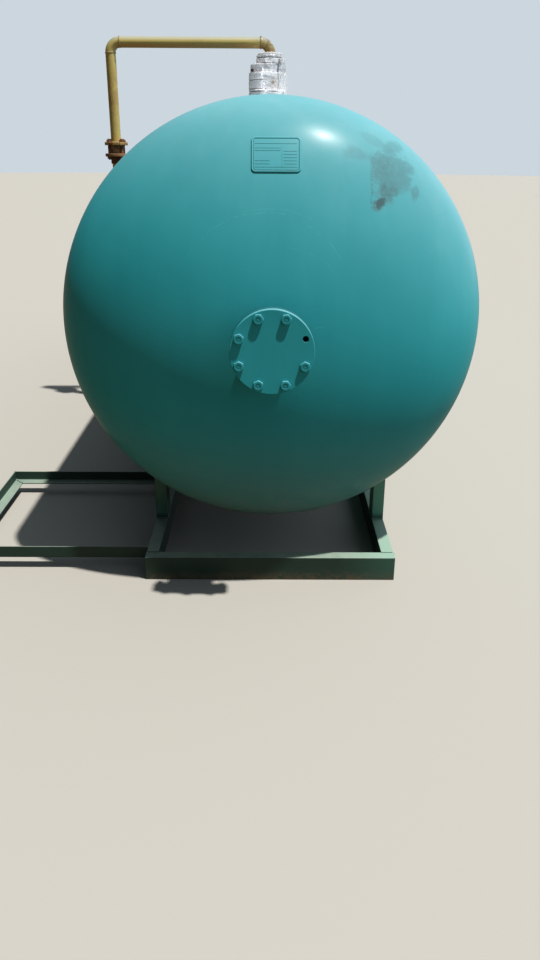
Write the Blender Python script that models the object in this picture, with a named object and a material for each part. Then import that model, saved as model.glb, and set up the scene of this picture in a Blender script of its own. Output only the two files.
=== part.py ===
"""Horizontal LPG dispensing tank on a steel skid, with its top filling line.

The frame is metres with +Z up. +Y runs along the tank, away from the flanged front head. The origin
is on the ground, under the middle of the skid.
"""

import math

import bmesh
import bpy
from mathutils import Matrix, Vector

# Clearance between pieces that touch or are welded together, and along an axis at a mitre
GAP = 0.0003
MITRE_GAP = 1.5 * GAP

# Tank
TANK_DIAMETER = 1.600
TANK_WALL = 0.012
GROUND_CLEARANCE = 0.200
COURSE_LENGTH = 1.467
COURSE_COUNT = 3
HEAD_DEPTH = 0.400
HEAD_SKIRT = 0.040
TANK_SIDES = 64
HEAD_RINGS = 9

# Flanged neck and cover on the front head
NECK_DIAMETER = 0.1683
NECK_WALL = 0.0071
NECK_INSIDE = 0.020
COVER_DIAMETER = 0.285
COVER_THICKNESS = 0.024
COVER_STANDOFF = 0.100
COVER_BOLT_CIRCLE = 0.240
COVER_BOLT_HOLE = 0.022
COVER_BOLTS = 8
GASKET_DIAMETER = 0.212
GASKET_THICKNESS = 0.003
FLANGE_EDGE = 0.0015
NECK_SIDES = 40

# Nameplate tray on the front head
TRAY_WIDTH = 0.170
TRAY_HEIGHT = 0.125
TRAY_CORNER = 0.016
TRAY_RISE = 0.010
TRAY_RIM = 0.009
TRAY_RECESS = 0.004
TRAY_BELOW_TOP = 0.193
TRAY_OFFSET = 0.011
NAMEPLATE_THICKNESS = 0.0015

# Skid, legs and wear pads
CHANNEL_HEIGHT = 0.100
CHANNEL_FLANGE = 0.050
CHANNEL_WEB = 0.005
CHANNEL_FLANGE_THICKNESS = 0.0075
CHANNEL_FILLET = 0.008
SKID_WIDTH = 1.010
SKID_SETBACK = 0.150
LEG_SETBACK = 0.370
PAD_THICKNESS = 0.010
PAD_LENGTH = 0.200
PAD_ARC = 0.340

# Outrigger frame beside the front of the skid
ANGLE_LEG = 0.050
ANGLE_THICKNESS = 0.005
OUTRIGGER_REACH = 0.795
OUTRIGGER_SETBACK = 0.092
OUTRIGGER_LENGTH = 0.830
OUTRIGGER_LIFT = 0.050

# Valve on top of the tank, wrapped in film
NOZZLE_DIAMETER = 0.0889
NOZZLE_WALL = 0.0076
NOZZLE_HEIGHT = 0.147
NOZZLE_INSIDE = 0.015
NOZZLE_FLANGE_DIAMETER = 0.200
NOZZLE_FLANGE_THICKNESS = 0.020
NOZZLE_BOLT_CIRCLE = 0.160
NOZZLE_BOLTS = 8
VALVE_WAIST_HEIGHT = 0.093
VALVE_SHOULDER_HEIGHT = 0.136
VALVE_HEIGHT = 0.181
VALVE_WAIST_DIAMETER = 0.165
VALVE_TOP_DIAMETER = 0.144
VALVE_EDGE = 0.004

# Filling line
PIPE_DIAMETER = 0.0603
PIPE_WALL = 0.0039
PIPE_SIDES = 20
ELBOW_RADIUS = 0.057
ELBOW_TAIL = 0.018
ELBOW_STEPS = 6
LINE_FLANGE_DIAMETER = 0.140
LINE_FLANGE_THICKNESS = 0.018
LINE_BOLT_CIRCLE = 0.110
LINE_BOLT_HOLE = 0.016
LINE_BOLTS = 4
FLANGE_RECESS = 0.001
RISER_OFFSET = 0.950
CHECK_VALVE_HEIGHT = 1.595
CHECK_VALVE_LENGTH = 0.046
CHECK_VALVE_DIAMETER = 0.098
COUPLING_DIAMETER = 0.074
COUPLING_LENGTH = 0.041
COUPLING_EDGE = 0.003
FILL_HEIGHT = 0.450
BLIND_THICKNESS = 0.018

# Support of the riser
POST_HEIGHT = 0.850
CLAMP_HEIGHT = 0.040
CLAMP_THICKNESS = 0.005
CLAMP_STANDOFF = 0.012
CLAMP_TAB_WIDTH = 0.020
CLAMP_TAB_INSET = 0.001
CLAMP_LEVEL = 0.780

# Values worked out from the sizes above
TANK_RADIUS = TANK_DIAMETER / 2
AXIS_HEIGHT = GROUND_CLEARANCE + TANK_RADIUS
SHELL_END = COURSE_COUNT * COURSE_LENGTH / 2
HEAD_BASE = SHELL_END + HEAD_SKIRT
APEX = HEAD_BASE + HEAD_DEPTH
COVER_FACE = APEX + COVER_STANDOFF
TANK_TOP = AXIS_HEIGHT + TANK_RADIUS
PIPE_RADIUS = PIPE_DIAMETER / 2
PIPE_BORE = PIPE_RADIUS - PIPE_WALL
NOZZLE_TOP = TANK_TOP + NOZZLE_HEIGHT
VALVE_TOP = NOZZLE_TOP + GAP + VALVE_HEIGHT
OUTLET_FACE = VALVE_TOP + GAP
LINE_HEIGHT = OUTLET_FACE + FLANGE_RECESS + ELBOW_TAIL + ELBOW_RADIUS
SKID_HALF_WIDTH = SKID_WIDTH / 2
SKID_END = APEX - SKID_SETBACK
TRAY_ABOVE_AXIS = TANK_RADIUS - TRAY_BELOW_TOP

PAINTS = {
    "tank_paint": ((0.045, 0.36, 0.38), 0.35, 0.0),
    "skid_paint": ((0.06, 0.16, 0.13), 0.55, 0.0),
    "pipe_paint": ((0.50, 0.38, 0.12), 0.45, 0.0),
    "rusty_iron": ((0.20, 0.09, 0.05), 0.85, 0.3),
    "film_wrap": ((0.75, 0.77, 0.80), 0.30, 0.0),
    "gasket_fibre": ((0.05, 0.06, 0.06), 0.80, 0.0),
}


def clear_scene():
    """Remove every object, so that the model starts from an empty scene."""
    for old in list(bpy.data.objects):
        bpy.data.objects.remove(old, do_unlink=True)


def paint(name, finish):
    """Return a new Principled material for one node."""
    colour, roughness, metallic = PAINTS[finish]
    material = bpy.data.materials.new(f"{name}_{finish}")
    material.use_nodes = True
    shader = material.node_tree.nodes["Principled BSDF"]
    shader.inputs["Base Color"].default_value = (*colour, 1.0)
    shader.inputs["Roughness"].default_value = roughness
    shader.inputs["Metallic"].default_value = metallic
    material.diffuse_color = (*colour, 1.0)
    return material


def mesh_from(name, bm):
    """Turn a bmesh into a mesh with outward faces, shaded smooth between sharp edges."""
    bmesh.ops.recalc_face_normals(bm, faces=bm.faces)
    mesh = bpy.data.meshes.new(name)
    bm.to_mesh(mesh)
    bm.free()
    mesh.shade_smooth()
    mesh.set_sharp_from_angle(angle=math.radians(30))
    return mesh


def node(name, bm, finish, place=None):
    """Add one named piece with its own material, placed by a matrix."""
    thing = bpy.data.objects.new(name, mesh_from(name, bm))
    thing.data.materials.append(paint(name, finish))
    if place is not None:
        thing.matrix_world = place
    bpy.context.scene.collection.objects.link(thing)
    return thing


def cutter(name, bm, place=None):
    """Add a hidden guide body that only cuts other pieces."""
    thing = bpy.data.objects.new(name, mesh_from(name, bm))
    thing.hide_render = True
    thing.display_type = "WIRE"
    if place is not None:
        thing.matrix_world = place
    bpy.context.scene.collection.objects.link(thing)
    return thing


def combine(piece, tool, operation="DIFFERENCE"):
    """Cut a piece with a guide body, or join the two."""
    change = piece.modifiers.new(tool.name, "BOOLEAN")
    change.operation = operation
    change.solver = "EXACT"
    change.object = tool


def turned(profile, sides):
    """Return a body turned about Z from a closed profile of (radius, height) points.

    A profile point on the axis becomes a single pole vertex.
    """
    bm = bmesh.new()
    rings = []
    for radius, height in profile:
        if radius < GAP:
            rings.append([bm.verts.new((0.0, 0.0, height))] * sides)
            continue
        ring = []
        for step in range(sides):
            angle = 2 * math.pi * step / sides
            ring.append(bm.verts.new((radius * math.cos(angle), radius * math.sin(angle), height)))
        rings.append(ring)
    for index, ring in enumerate(rings):
        following = rings[(index + 1) % len(rings)]
        for step in range(sides):
            ahead = (step + 1) % sides
            corners = [ring[step], ring[ahead], following[ahead], following[step]]
            unique = list(dict.fromkeys(corners))
            if len(unique) > 2:
                bm.faces.new(unique)
    return bm


def tube_profile(outer, inner, low, high):
    """Return the closed profile of a plain ring."""
    return [(outer, low), (outer, high), (inner, high), (inner, low)]


def disc_profile(radius, low, high, edge=FLANGE_EDGE):
    """Return the profile of a solid disc with a small bevel on both rims."""
    return [
        (0.0, low),
        (radius - edge, low),
        (radius, low + edge),
        (radius, high - edge),
        (radius - edge, high),
        (0.0, high),
    ]


def ring_profile(radius, bore, low, high, edge=FLANGE_EDGE):
    """Return the profile of a flange ring with a small bevel on both outer rims."""
    return [
        (bore, low),
        (radius - edge, low),
        (radius, low + edge),
        (radius, high - edge),
        (radius - edge, high),
        (bore, high),
    ]


def swept(stations, outer, inner, sides):
    """Return a pipe through stations of (centre, side, up) frames, with flat annular ends."""
    bm = bmesh.new()
    walls = []
    for radius in (outer, inner):
        rings = []
        for centre, side, up in stations:
            ring = []
            for step in range(sides):
                angle = 2 * math.pi * step / sides
                point = centre + side * (radius * math.cos(angle)) + up * (radius * math.sin(angle))
                ring.append(bm.verts.new(point))
            rings.append(ring)
        walls.append(rings)
    for rings in walls:
        for ring, following in zip(rings, rings[1:]):
            for step in range(sides):
                ahead = (step + 1) % sides
                bm.faces.new((ring[step], ring[ahead], following[ahead], following[step]))
    for end in (0, -1):
        outside = walls[0][end]
        inside = walls[1][end]
        for step in range(sides):
            ahead = (step + 1) % sides
            bm.faces.new((outside[step], outside[ahead], inside[ahead], inside[step]))
    return bm


def prism(outline, low, high, low_mitre=0.0, high_mitre=0.0):
    """Return a body extruded along Z from a closed outline of (u, v) points.

    A mitre slopes its end by that much for each metre of u.
    """
    bm = bmesh.new()
    bottom = [bm.verts.new((u, v, low + low_mitre * u)) for u, v in outline]
    top = [bm.verts.new((u, v, high + high_mitre * u)) for u, v in outline]
    count = len(outline)
    for step in range(count):
        ahead = (step + 1) % count
        bm.faces.new((bottom[step], bottom[ahead], top[ahead], top[step]))
    bm.faces.new(list(reversed(bottom)))
    bm.faces.new(top)
    return bm


def arc(centre, radius, start, end, steps):
    """Return points on an arc, with its angles in degrees."""
    points = []
    for step in range(steps + 1):
        angle = math.radians(start + (end - start) * step / steps)
        points.append((centre[0] + radius * math.cos(angle), centre[1] + radius * math.sin(angle)))
    return points


def channel_outline():
    """Return a rolled channel: its web along u = 0, its two flanges reaching to +u."""
    half = CHANNEL_HEIGHT / 2
    inside = half - CHANNEL_FLANGE_THICKNESS
    root = CHANNEL_WEB + CHANNEL_FILLET
    toe = CHANNEL_FLANGE_THICKNESS / 3
    outline = [(0.0, -half), (CHANNEL_FLANGE, -half)]
    outline += arc((CHANNEL_FLANGE - toe, -inside - toe), toe, 0, 90, 2)
    outline += arc((root, -inside + CHANNEL_FILLET), CHANNEL_FILLET, 270, 180, 3)
    outline += arc((root, inside - CHANNEL_FILLET), CHANNEL_FILLET, 180, 90, 3)
    outline += arc((CHANNEL_FLANGE - toe, inside + toe), toe, 270, 360, 2)
    outline += [(CHANNEL_FLANGE, half), (0.0, half)]
    return outline


def angle_outline():
    """Return an angle section with its corner at the origin and its legs on +u and +v."""
    toe = ANGLE_THICKNESS / 2
    root = ANGLE_THICKNESS * 2
    outline = [(0.0, 0.0), (ANGLE_LEG, 0.0)]
    outline += arc((ANGLE_LEG - toe, ANGLE_THICKNESS - toe), toe, 0, 90, 2)
    outline += arc((root, root), root - ANGLE_THICKNESS, 270, 180, 3)
    outline += arc((ANGLE_THICKNESS - toe, ANGLE_LEG - toe), toe, 0, 90, 2)
    outline += [(0.0, ANGLE_LEG)]
    return outline


def rounded_rectangle(width, height, corner, steps=4):
    """Return a rectangle outline with round corners, centred on the origin."""
    across = width / 2 - corner
    along = height / 2 - corner
    outline = arc((across, along), corner, 0, 90, steps)
    outline += arc((-across, along), corner, 90, 180, steps)
    outline += arc((-across, -along), corner, 180, 270, steps)
    outline += arc((across, -along), corner, 270, 360, steps)
    return outline


def frame_matrix(origin, u_axis, v_axis, w_axis):
    """Return the matrix that carries local u, v and w to three world axes."""
    matrix = Matrix.Identity(4)
    for column, axis in enumerate((u_axis, v_axis, w_axis)):
        for row in range(3):
            matrix[row][column] = axis[row]
    matrix.translation = Vector(origin)
    return matrix


def facing_rear(start=0.0):
    """Return the matrix that lays a body's Z on the tank's axis, pointing to +Y from a start."""
    return frame_matrix((0, start, AXIS_HEIGHT), (1, 0, 0), (0, 0, -1), (0, 1, 0))


def facing_front(start=0.0):
    """Return the matrix that lays a body's Z on the tank's axis, pointing to -Y from a start."""
    return frame_matrix((0, -start, AXIS_HEIGHT), (1, 0, 0), (0, 0, 1), (0, -1, 0))


def bolt_holes(name, count, circle, hole, low, high, start, place, sides=12):
    """Return one guide body with a ring of bolt holes."""
    bm = bmesh.new()
    for step in range(count):
        angle = math.radians(start) + 2 * math.pi * step / count
        centre = Vector((circle / 2 * math.cos(angle), circle / 2 * math.sin(angle), (low + high) / 2))
        bmesh.ops.create_cone(
            bm,
            cap_ends=True,
            segments=sides,
            radius1=hole / 2,
            radius2=hole / 2,
            depth=high - low,
            matrix=Matrix.Translation(centre),
        )
    return cutter(name, bm, place)


def build_shell():
    """Add the rolled courses, the middle one cut for the top nozzle."""
    names = ["front", "middle", "rear"]
    for index, name in enumerate(names[:COURSE_COUNT]):
        low = -SHELL_END + index * COURSE_LENGTH + GAP / 2
        high = -SHELL_END + (index + 1) * COURSE_LENGTH - GAP / 2
        profile = tube_profile(TANK_RADIUS, TANK_RADIUS - TANK_WALL, low, high)
        course = node(f"tank_shell_{name}", turned(profile, TANK_SIDES), "tank_paint", facing_rear())
        if low < 0 < high:
            hole = disc_profile(NOZZLE_DIAMETER / 2 + GAP, AXIS_HEIGHT, NOZZLE_TOP)
            combine(course, cutter("nozzle_hole", turned(hole, PIPE_SIDES)))


def head_profile(grow=0.0, wall=TANK_WALL):
    """Return the dished head as a profile, its skirt at z = 0 and its apex at +z.

    Args:
        grow: how far the outer face is moved outwards.
        wall: the plate thickness, or 0 for a solid body.
    """
    radius = TANK_RADIUS + grow
    depth = HEAD_DEPTH + grow
    profile = [(radius, 0.0)]
    for step in range(HEAD_RINGS + 1):
        angle = math.pi / 2 * step / HEAD_RINGS
        profile.append((radius * math.cos(angle), HEAD_SKIRT + depth * math.sin(angle)))
    if not wall:
        return profile + [(0.0, 0.0)]
    for step in range(HEAD_RINGS, -1, -1):
        angle = math.pi / 2 * step / HEAD_RINGS
        across = (radius - wall) * math.cos(angle)
        profile.append((across, HEAD_SKIRT + (depth - wall) * math.sin(angle)))
    return profile + [(radius - wall, 0.0)]


def build_heads():
    """Add the two dished heads, the front one cut for the cover's neck."""
    start = SHELL_END + GAP / 2
    front = node("front_head", turned(head_profile(), TANK_SIDES), "tank_paint", facing_front(start))
    hole = disc_profile(NECK_DIAMETER / 2 + GAP, HEAD_BASE, COVER_FACE)
    combine(front, cutter("neck_hole", turned(hole, NECK_SIDES), facing_front()))
    node("rear_head", turned(head_profile(), TANK_SIDES), "tank_paint", facing_rear(start))


def build_cover():
    """Add the neck, its flange, the gasket and the bolted cover on the front head."""
    place = facing_front()
    face = COVER_FACE
    back = face - COVER_THICKNESS
    seat = back - GAP - GASKET_THICKNESS - GAP
    flange_back = seat - COVER_THICKNESS
    first_bolt = 180 / COVER_BOLTS

    cover = node(
        "cover_plate",
        turned(disc_profile(COVER_DIAMETER / 2, back, face), NECK_SIDES),
        "tank_paint",
        place,
    )
    cover_holes = bolt_holes(
        "cover_holes",
        COVER_BOLTS,
        COVER_BOLT_CIRCLE,
        COVER_BOLT_HOLE,
        flange_back - COVER_THICKNESS,
        face + COVER_THICKNESS,
        first_bolt,
        place,
    )
    combine(cover, cover_holes)

    gasket = tube_profile(
        GASKET_DIAMETER / 2,
        NECK_DIAMETER / 2,
        seat + GAP,
        seat + GAP + GASKET_THICKNESS,
    )
    node("cover_gasket", turned(gasket, NECK_SIDES), "gasket_fibre", place)

    flange = node(
        "cover_neck_flange",
        turned(ring_profile(COVER_DIAMETER / 2, NECK_DIAMETER / 2 + GAP, flange_back, seat), NECK_SIDES),
        "tank_paint",
        place,
    )
    combine(flange, cover_holes)

    inner_end = APEX - TANK_WALL - NECK_INSIDE
    neck = tube_profile(
        NECK_DIAMETER / 2,
        NECK_DIAMETER / 2 - NECK_WALL,
        inner_end,
        seat - NECK_WALL,
    )
    node("cover_neck", turned(neck, NECK_SIDES), "tank_paint", place)


def tray_place():
    """Return the matrix of the nameplate tray, tangent to the front head above the cover."""
    ratio = TRAY_ABOVE_AXIS / TANK_RADIUS
    depth = HEAD_DEPTH * math.sqrt(1 - ratio**2)
    outward = Vector((0, -depth / HEAD_DEPTH**2, TRAY_ABOVE_AXIS / TANK_RADIUS**2)).normalized()
    across = Vector((1, 0, 0))
    uphill = outward.cross(across)
    origin = Vector((TRAY_OFFSET, -HEAD_BASE - depth, AXIS_HEIGHT + TRAY_ABOVE_AXIS))
    return frame_matrix(origin, across, uphill, outward)


def build_nameplate():
    """Add the tray that follows the head's curve, and the bare plate that lies in it."""
    place = tray_place()
    outline = rounded_rectangle(TRAY_WIDTH, TRAY_HEIGHT, TRAY_CORNER)
    tray = node("nameplate_tray", prism(outline, -TRAY_RISE, TRAY_RISE), "tank_paint", place)
    head = turned(head_profile(grow=GAP * 2, wall=0.0), TANK_SIDES)
    combine(tray, cutter("head_guide", head, facing_front(SHELL_END + GAP / 2)))
    inner = rounded_rectangle(
        TRAY_WIDTH - 2 * TRAY_RIM,
        TRAY_HEIGHT - 2 * TRAY_RIM,
        TRAY_CORNER - TRAY_RIM / 2,
    )
    floor = TRAY_RISE - TRAY_RECESS
    combine(tray, cutter("tray_recess", prism(inner, floor, TRAY_RISE * 2), place))
    plate = rounded_rectangle(
        TRAY_WIDTH - 2 * TRAY_RIM - 2 * GAP,
        TRAY_HEIGHT - 2 * TRAY_RIM - 2 * GAP,
        TRAY_CORNER - TRAY_RIM / 2,
    )
    low = floor + GAP
    node("nameplate", prism(plate, low, low + NAMEPLATE_THICKNESS), "tank_paint", place)


def side_matrix(sign, origin, along):
    """Return the matrix of a section on one side, its u axis pointing away from the tank's axis."""
    u_axis = Vector((sign, 0, 0))
    w_axis = Vector(along)
    return frame_matrix(origin, u_axis, w_axis.cross(u_axis), w_axis)


def build_skid():
    """Add the two long channels and the three cross channels."""
    web = SKID_HALF_WIDTH - CHANNEL_FLANGE
    middle = CHANNEL_HEIGHT / 2
    reach = SKID_END - CHANNEL_FLANGE - GAP
    for side, sign in (("left", -1), ("right", 1)):
        place = side_matrix(sign, (sign * web, 0, middle), (0, 1, 0))
        node(f"skid_beam_{side}", prism(channel_outline(), -reach, reach), "skid_paint", place)
    for end, sign in (("front", -1), ("rear", 1)):
        place = frame_matrix((0, sign * SKID_END, middle), (0, -sign, 0), (0, 0, sign), (-1, 0, 0))
        node(
            f"skid_cross_{end}",
            prism(channel_outline(), -SKID_HALF_WIDTH, SKID_HALF_WIDTH),
            "skid_paint",
            place,
        )
    place = frame_matrix((0, -CHANNEL_FLANGE / 2, middle), (0, 1, 0), (0, 0, -1), (-1, 0, 0))
    inner = web - GAP
    node("skid_cross_middle", prism(channel_outline(), -inner, inner), "skid_paint", place)


def pad_steps():
    """Return the first and last side of the tank's polygon that a wear pad covers."""
    leg_centre = SKID_HALF_WIDTH - CHANNEL_FLANGE / 2
    angle = math.asin(leg_centre / TANK_RADIUS)
    half = PAD_ARC / 2 / TANK_RADIUS
    step = 2 * math.pi / TANK_SIDES
    return math.floor((angle - half) / step), math.ceil((angle + half) / step)


def pad_outline():
    """Return a wear pad's curved outline, with angles counted from the tank's lowest line."""
    first, last = pad_steps()
    inner = TANK_RADIUS + GAP
    outer = inner + PAD_THICKNESS
    step = 360 / TANK_SIDES
    count = last - first
    outline = arc((0, 0), outer, first * step - 90, last * step - 90, count)
    outline += arc((0, 0), inner, last * step - 90, first * step - 90, count)
    return outline


def build_legs():
    """Add the four legs, cut to the tank's curve, and the wear pads above them."""
    low = CHANNEL_HEIGHT + GAP
    web = SKID_HALF_WIDTH - CHANNEL_FLANGE
    clear = TANK_RADIUS + GAP + PAD_THICKNESS + GAP
    saddle = cutter(
        "leg_top_guide",
        turned(disc_profile(clear, -SKID_END, SKID_END), TANK_SIDES),
        facing_rear(),
    )
    for end, end_sign in (("front", -1), ("rear", 1)):
        centre = end_sign * (SKID_END - LEG_SETBACK - CHANNEL_HEIGHT / 2)
        for side, sign in (("left", -1), ("right", 1)):
            place = side_matrix(sign, (sign * web, centre, low), (0, 0, 1))
            leg = node(
                f"leg_{end}_{side}",
                prism(channel_outline(), 0.0, AXIS_HEIGHT - low),
                "skid_paint",
                place,
            )
            combine(leg, saddle)
            pad_place = frame_matrix(
                (0, centre - PAD_LENGTH / 2, AXIS_HEIGHT), (sign, 0, 0), (0, 0, 1), (0, 1, 0)
            )
            node(f"leg_pad_{end}_{side}", prism(pad_outline(), 0.0, PAD_LENGTH), "tank_paint", pad_place)


def build_outrigger():
    """Add the open angle frame beside the front of the skid, with mitred outer corners."""
    inner_end = -SKID_HALF_WIDTH - GAP
    outer_end = -SKID_HALF_WIDTH - OUTRIGGER_REACH
    front = -SKID_END + OUTRIGGER_SETBACK
    rear = front + OUTRIGGER_LENGTH
    lift = OUTRIGGER_LIFT
    length = inner_end - outer_end
    place = frame_matrix((inner_end, front, lift), (0, 1, 0), (0, 0, 1), (-1, 0, 0))
    node("outrigger_front", prism(angle_outline(), 0.0, length, 0.0, -1.0), "skid_paint", place)
    place = frame_matrix((inner_end, rear, lift), (0, -1, 0), (0, 0, 1), (-1, 0, 0))
    node("outrigger_rear", prism(angle_outline(), 0.0, length, 0.0, -1.0), "skid_paint", place)
    place = frame_matrix((outer_end, front, lift), (1, 0, 0), (0, 0, 1), (0, 1, 0))
    node(
        "outrigger_outer",
        prism(angle_outline(), MITRE_GAP, OUTRIGGER_LENGTH - MITRE_GAP, 1.0, -1.0),
        "skid_paint",
        place,
    )


def build_top_valve():
    """Add the top nozzle with its flange, the film-wrapped valve and the line's flange on it."""
    neck = tube_profile(
        NOZZLE_DIAMETER / 2,
        NOZZLE_DIAMETER / 2 - NOZZLE_WALL,
        TANK_TOP - TANK_WALL - NOZZLE_INSIDE,
        NOZZLE_TOP - NOZZLE_WALL / 2,
    )
    node("top_nozzle_neck", turned(neck, PIPE_SIDES), "tank_paint")
    low = NOZZLE_TOP - NOZZLE_FLANGE_THICKNESS
    profile = ring_profile(NOZZLE_FLANGE_DIAMETER / 2, NOZZLE_DIAMETER / 2 + GAP, low, NOZZLE_TOP)
    flange = node("top_nozzle_flange", turned(profile, PIPE_SIDES * 2), "tank_paint")
    holes = bolt_holes(
        "nozzle_holes",
        NOZZLE_BOLTS,
        NOZZLE_BOLT_CIRCLE,
        LINE_BOLT_HOLE,
        low - NOZZLE_FLANGE_THICKNESS,
        NOZZLE_TOP + NOZZLE_FLANGE_THICKNESS,
        180 / NOZZLE_BOLTS,
        None,
        sides=8,
    )
    combine(flange, holes)

    base = NOZZLE_TOP + GAP
    lower = NOZZLE_FLANGE_DIAMETER / 2
    waist = VALVE_WAIST_DIAMETER / 2
    top = VALVE_TOP_DIAMETER / 2
    edge = VALVE_EDGE
    profile = [
        (0.0, base),
        (lower - edge, base),
        (lower, base + edge),
        (lower, base + VALVE_WAIST_HEIGHT - edge),
        (lower - edge, base + VALVE_WAIST_HEIGHT),
        (waist, base + VALVE_WAIST_HEIGHT + edge),
        (waist, base + VALVE_SHOULDER_HEIGHT - edge),
        (waist - edge, base + VALVE_SHOULDER_HEIGHT),
        (top, base + VALVE_SHOULDER_HEIGHT + edge),
        (top, base + VALVE_HEIGHT - edge),
        (top - edge, base + VALVE_HEIGHT),
        (0.0, base + VALVE_HEIGHT),
    ]
    node("wrapped_shutoff_valve", turned(profile, PIPE_SIDES), "film_wrap")


def line_flange(name, finish, place, bore=PIPE_RADIUS + GAP, thickness=LINE_FLANGE_THICKNESS):
    """Add one flange of the filling line, its joint face at local z = 0 and its body above."""
    if bore:
        profile = ring_profile(LINE_FLANGE_DIAMETER / 2, bore, 0.0, thickness)
    else:
        profile = disc_profile(LINE_FLANGE_DIAMETER / 2, 0.0, thickness)
    flange = node(name, turned(profile, PIPE_SIDES), finish, place)
    holes = bolt_holes(
        f"{name}_holes",
        LINE_BOLTS,
        LINE_BOLT_CIRCLE,
        LINE_BOLT_HOLE,
        -thickness,
        2 * thickness,
        45,
        place,
        sides=8,
    )
    combine(flange, holes)


def elbow(name, corner, from_axis, to_axis, tail=0.0):
    """Add a quarter bend about a corner point of the line.

    Args:
        name: the node's name.
        corner: where the two centrelines meet.
        from_axis: unit direction from the corner towards the first end.
        to_axis: unit direction from the corner towards the second end.
        tail: straight length beyond the bend at the first end.
    """
    corner = Vector(corner)
    first = Vector(from_axis)
    second = Vector(to_axis)
    side = first.cross(second)
    centre = corner + (first + second) * ELBOW_RADIUS
    stations = []
    if tail:
        stations.append((corner + first * (ELBOW_RADIUS + tail), side, second))
    for step in range(ELBOW_STEPS + 1):
        angle = math.pi / 2 * step / ELBOW_STEPS
        inward = second * math.cos(angle) + first * math.sin(angle)
        stations.append((centre - inward * ELBOW_RADIUS, side, inward))
    return node(name, swept(stations, PIPE_RADIUS, PIPE_BORE, PIPE_SIDES), "pipe_paint")


def straight_pipe(name, start, end, finish="pipe_paint"):
    """Add a straight pipe between two points of a centreline."""
    start = Vector(start)
    end = Vector(end)
    direction = (end - start).normalized()
    side = Vector((0, 1, 0))
    up = direction.cross(side)
    stations = [(start, side, up), (end, side, up)]
    return node(name, swept(stations, PIPE_RADIUS, PIPE_BORE, PIPE_SIDES), finish)


def build_top_line():
    """Add the line from the wrapped valve across to the top of the riser."""
    line_flange("outlet_flange", "pipe_paint", Matrix.Translation((0, 0, OUTLET_FACE)))
    elbow("pipe_top_elbow", (0, 0, LINE_HEIGHT), (0, 0, -1), (-1, 0, 0), tail=ELBOW_TAIL)
    straight_pipe(
        "pipe_top_run",
        (-ELBOW_RADIUS - GAP, 0, LINE_HEIGHT),
        (-RISER_OFFSET + ELBOW_RADIUS + GAP, 0, LINE_HEIGHT),
    )
    elbow("pipe_side_elbow", (-RISER_OFFSET, 0, LINE_HEIGHT), (1, 0, 0), (0, 0, -1))


def build_riser():
    """Add the riser beside the tank, with the check valve between its flanges."""
    valve_low = CHECK_VALVE_HEIGHT
    valve_high = valve_low + CHECK_VALVE_LENGTH
    upper_face = valve_high + GAP
    lower_face = valve_low - GAP
    straight_pipe(
        "riser_upper",
        (-RISER_OFFSET, 0, LINE_HEIGHT - ELBOW_RADIUS - GAP),
        (-RISER_OFFSET, 0, upper_face + FLANGE_RECESS),
    )
    line_flange("check_valve_upper_flange", "pipe_paint", Matrix.Translation((-RISER_OFFSET, 0, upper_face)))
    body = ring_profile(CHECK_VALVE_DIAMETER / 2, PIPE_BORE, valve_low, valve_high)
    node(
        "check_valve_body",
        turned(body, PIPE_SIDES),
        "rusty_iron",
        Matrix.Translation((-RISER_OFFSET, 0, 0)),
    )
    turned_over = Matrix.Translation((-RISER_OFFSET, 0, lower_face)) @ Matrix.Rotation(math.pi, 4, "X")
    line_flange("check_valve_lower_flange", "rusty_iron", turned_over)

    pipe_top = lower_face - FLANGE_RECESS
    coupling_top = lower_face - LINE_FLANGE_THICKNESS - GAP
    coupling = ring_profile(
        COUPLING_DIAMETER / 2,
        PIPE_RADIUS + GAP,
        coupling_top - COUPLING_LENGTH,
        coupling_top,
        edge=COUPLING_EDGE,
    )
    node(
        "riser_coupling",
        turned(coupling, PIPE_SIDES),
        "rusty_iron",
        Matrix.Translation((-RISER_OFFSET, 0, 0)),
    )
    straight_pipe(
        "riser_lower",
        (-RISER_OFFSET, 0, pipe_top),
        (-RISER_OFFSET, 0, FILL_HEIGHT + ELBOW_RADIUS + GAP),
    )


def build_fill_end():
    """Add the bend at the riser's foot, turned outwards, with its blinded flange."""
    elbow("fill_elbow", (-RISER_OFFSET, 0, FILL_HEIGHT), (-1, 0, 0), (0, 0, 1), tail=ELBOW_TAIL)
    face = -RISER_OFFSET - ELBOW_RADIUS - ELBOW_TAIL - FLANGE_RECESS
    inwards = frame_matrix((face, 0, FILL_HEIGHT), (0, 1, 0), (0, 0, 1), (1, 0, 0))
    line_flange("fill_flange", "pipe_paint", inwards)
    outwards = frame_matrix((face - GAP, 0, FILL_HEIGHT), (0, 1, 0), (0, 0, -1), (-1, 0, 0))
    line_flange("fill_blind", "pipe_paint", outwards, bore=0.0, thickness=BLIND_THICKNESS)


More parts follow.
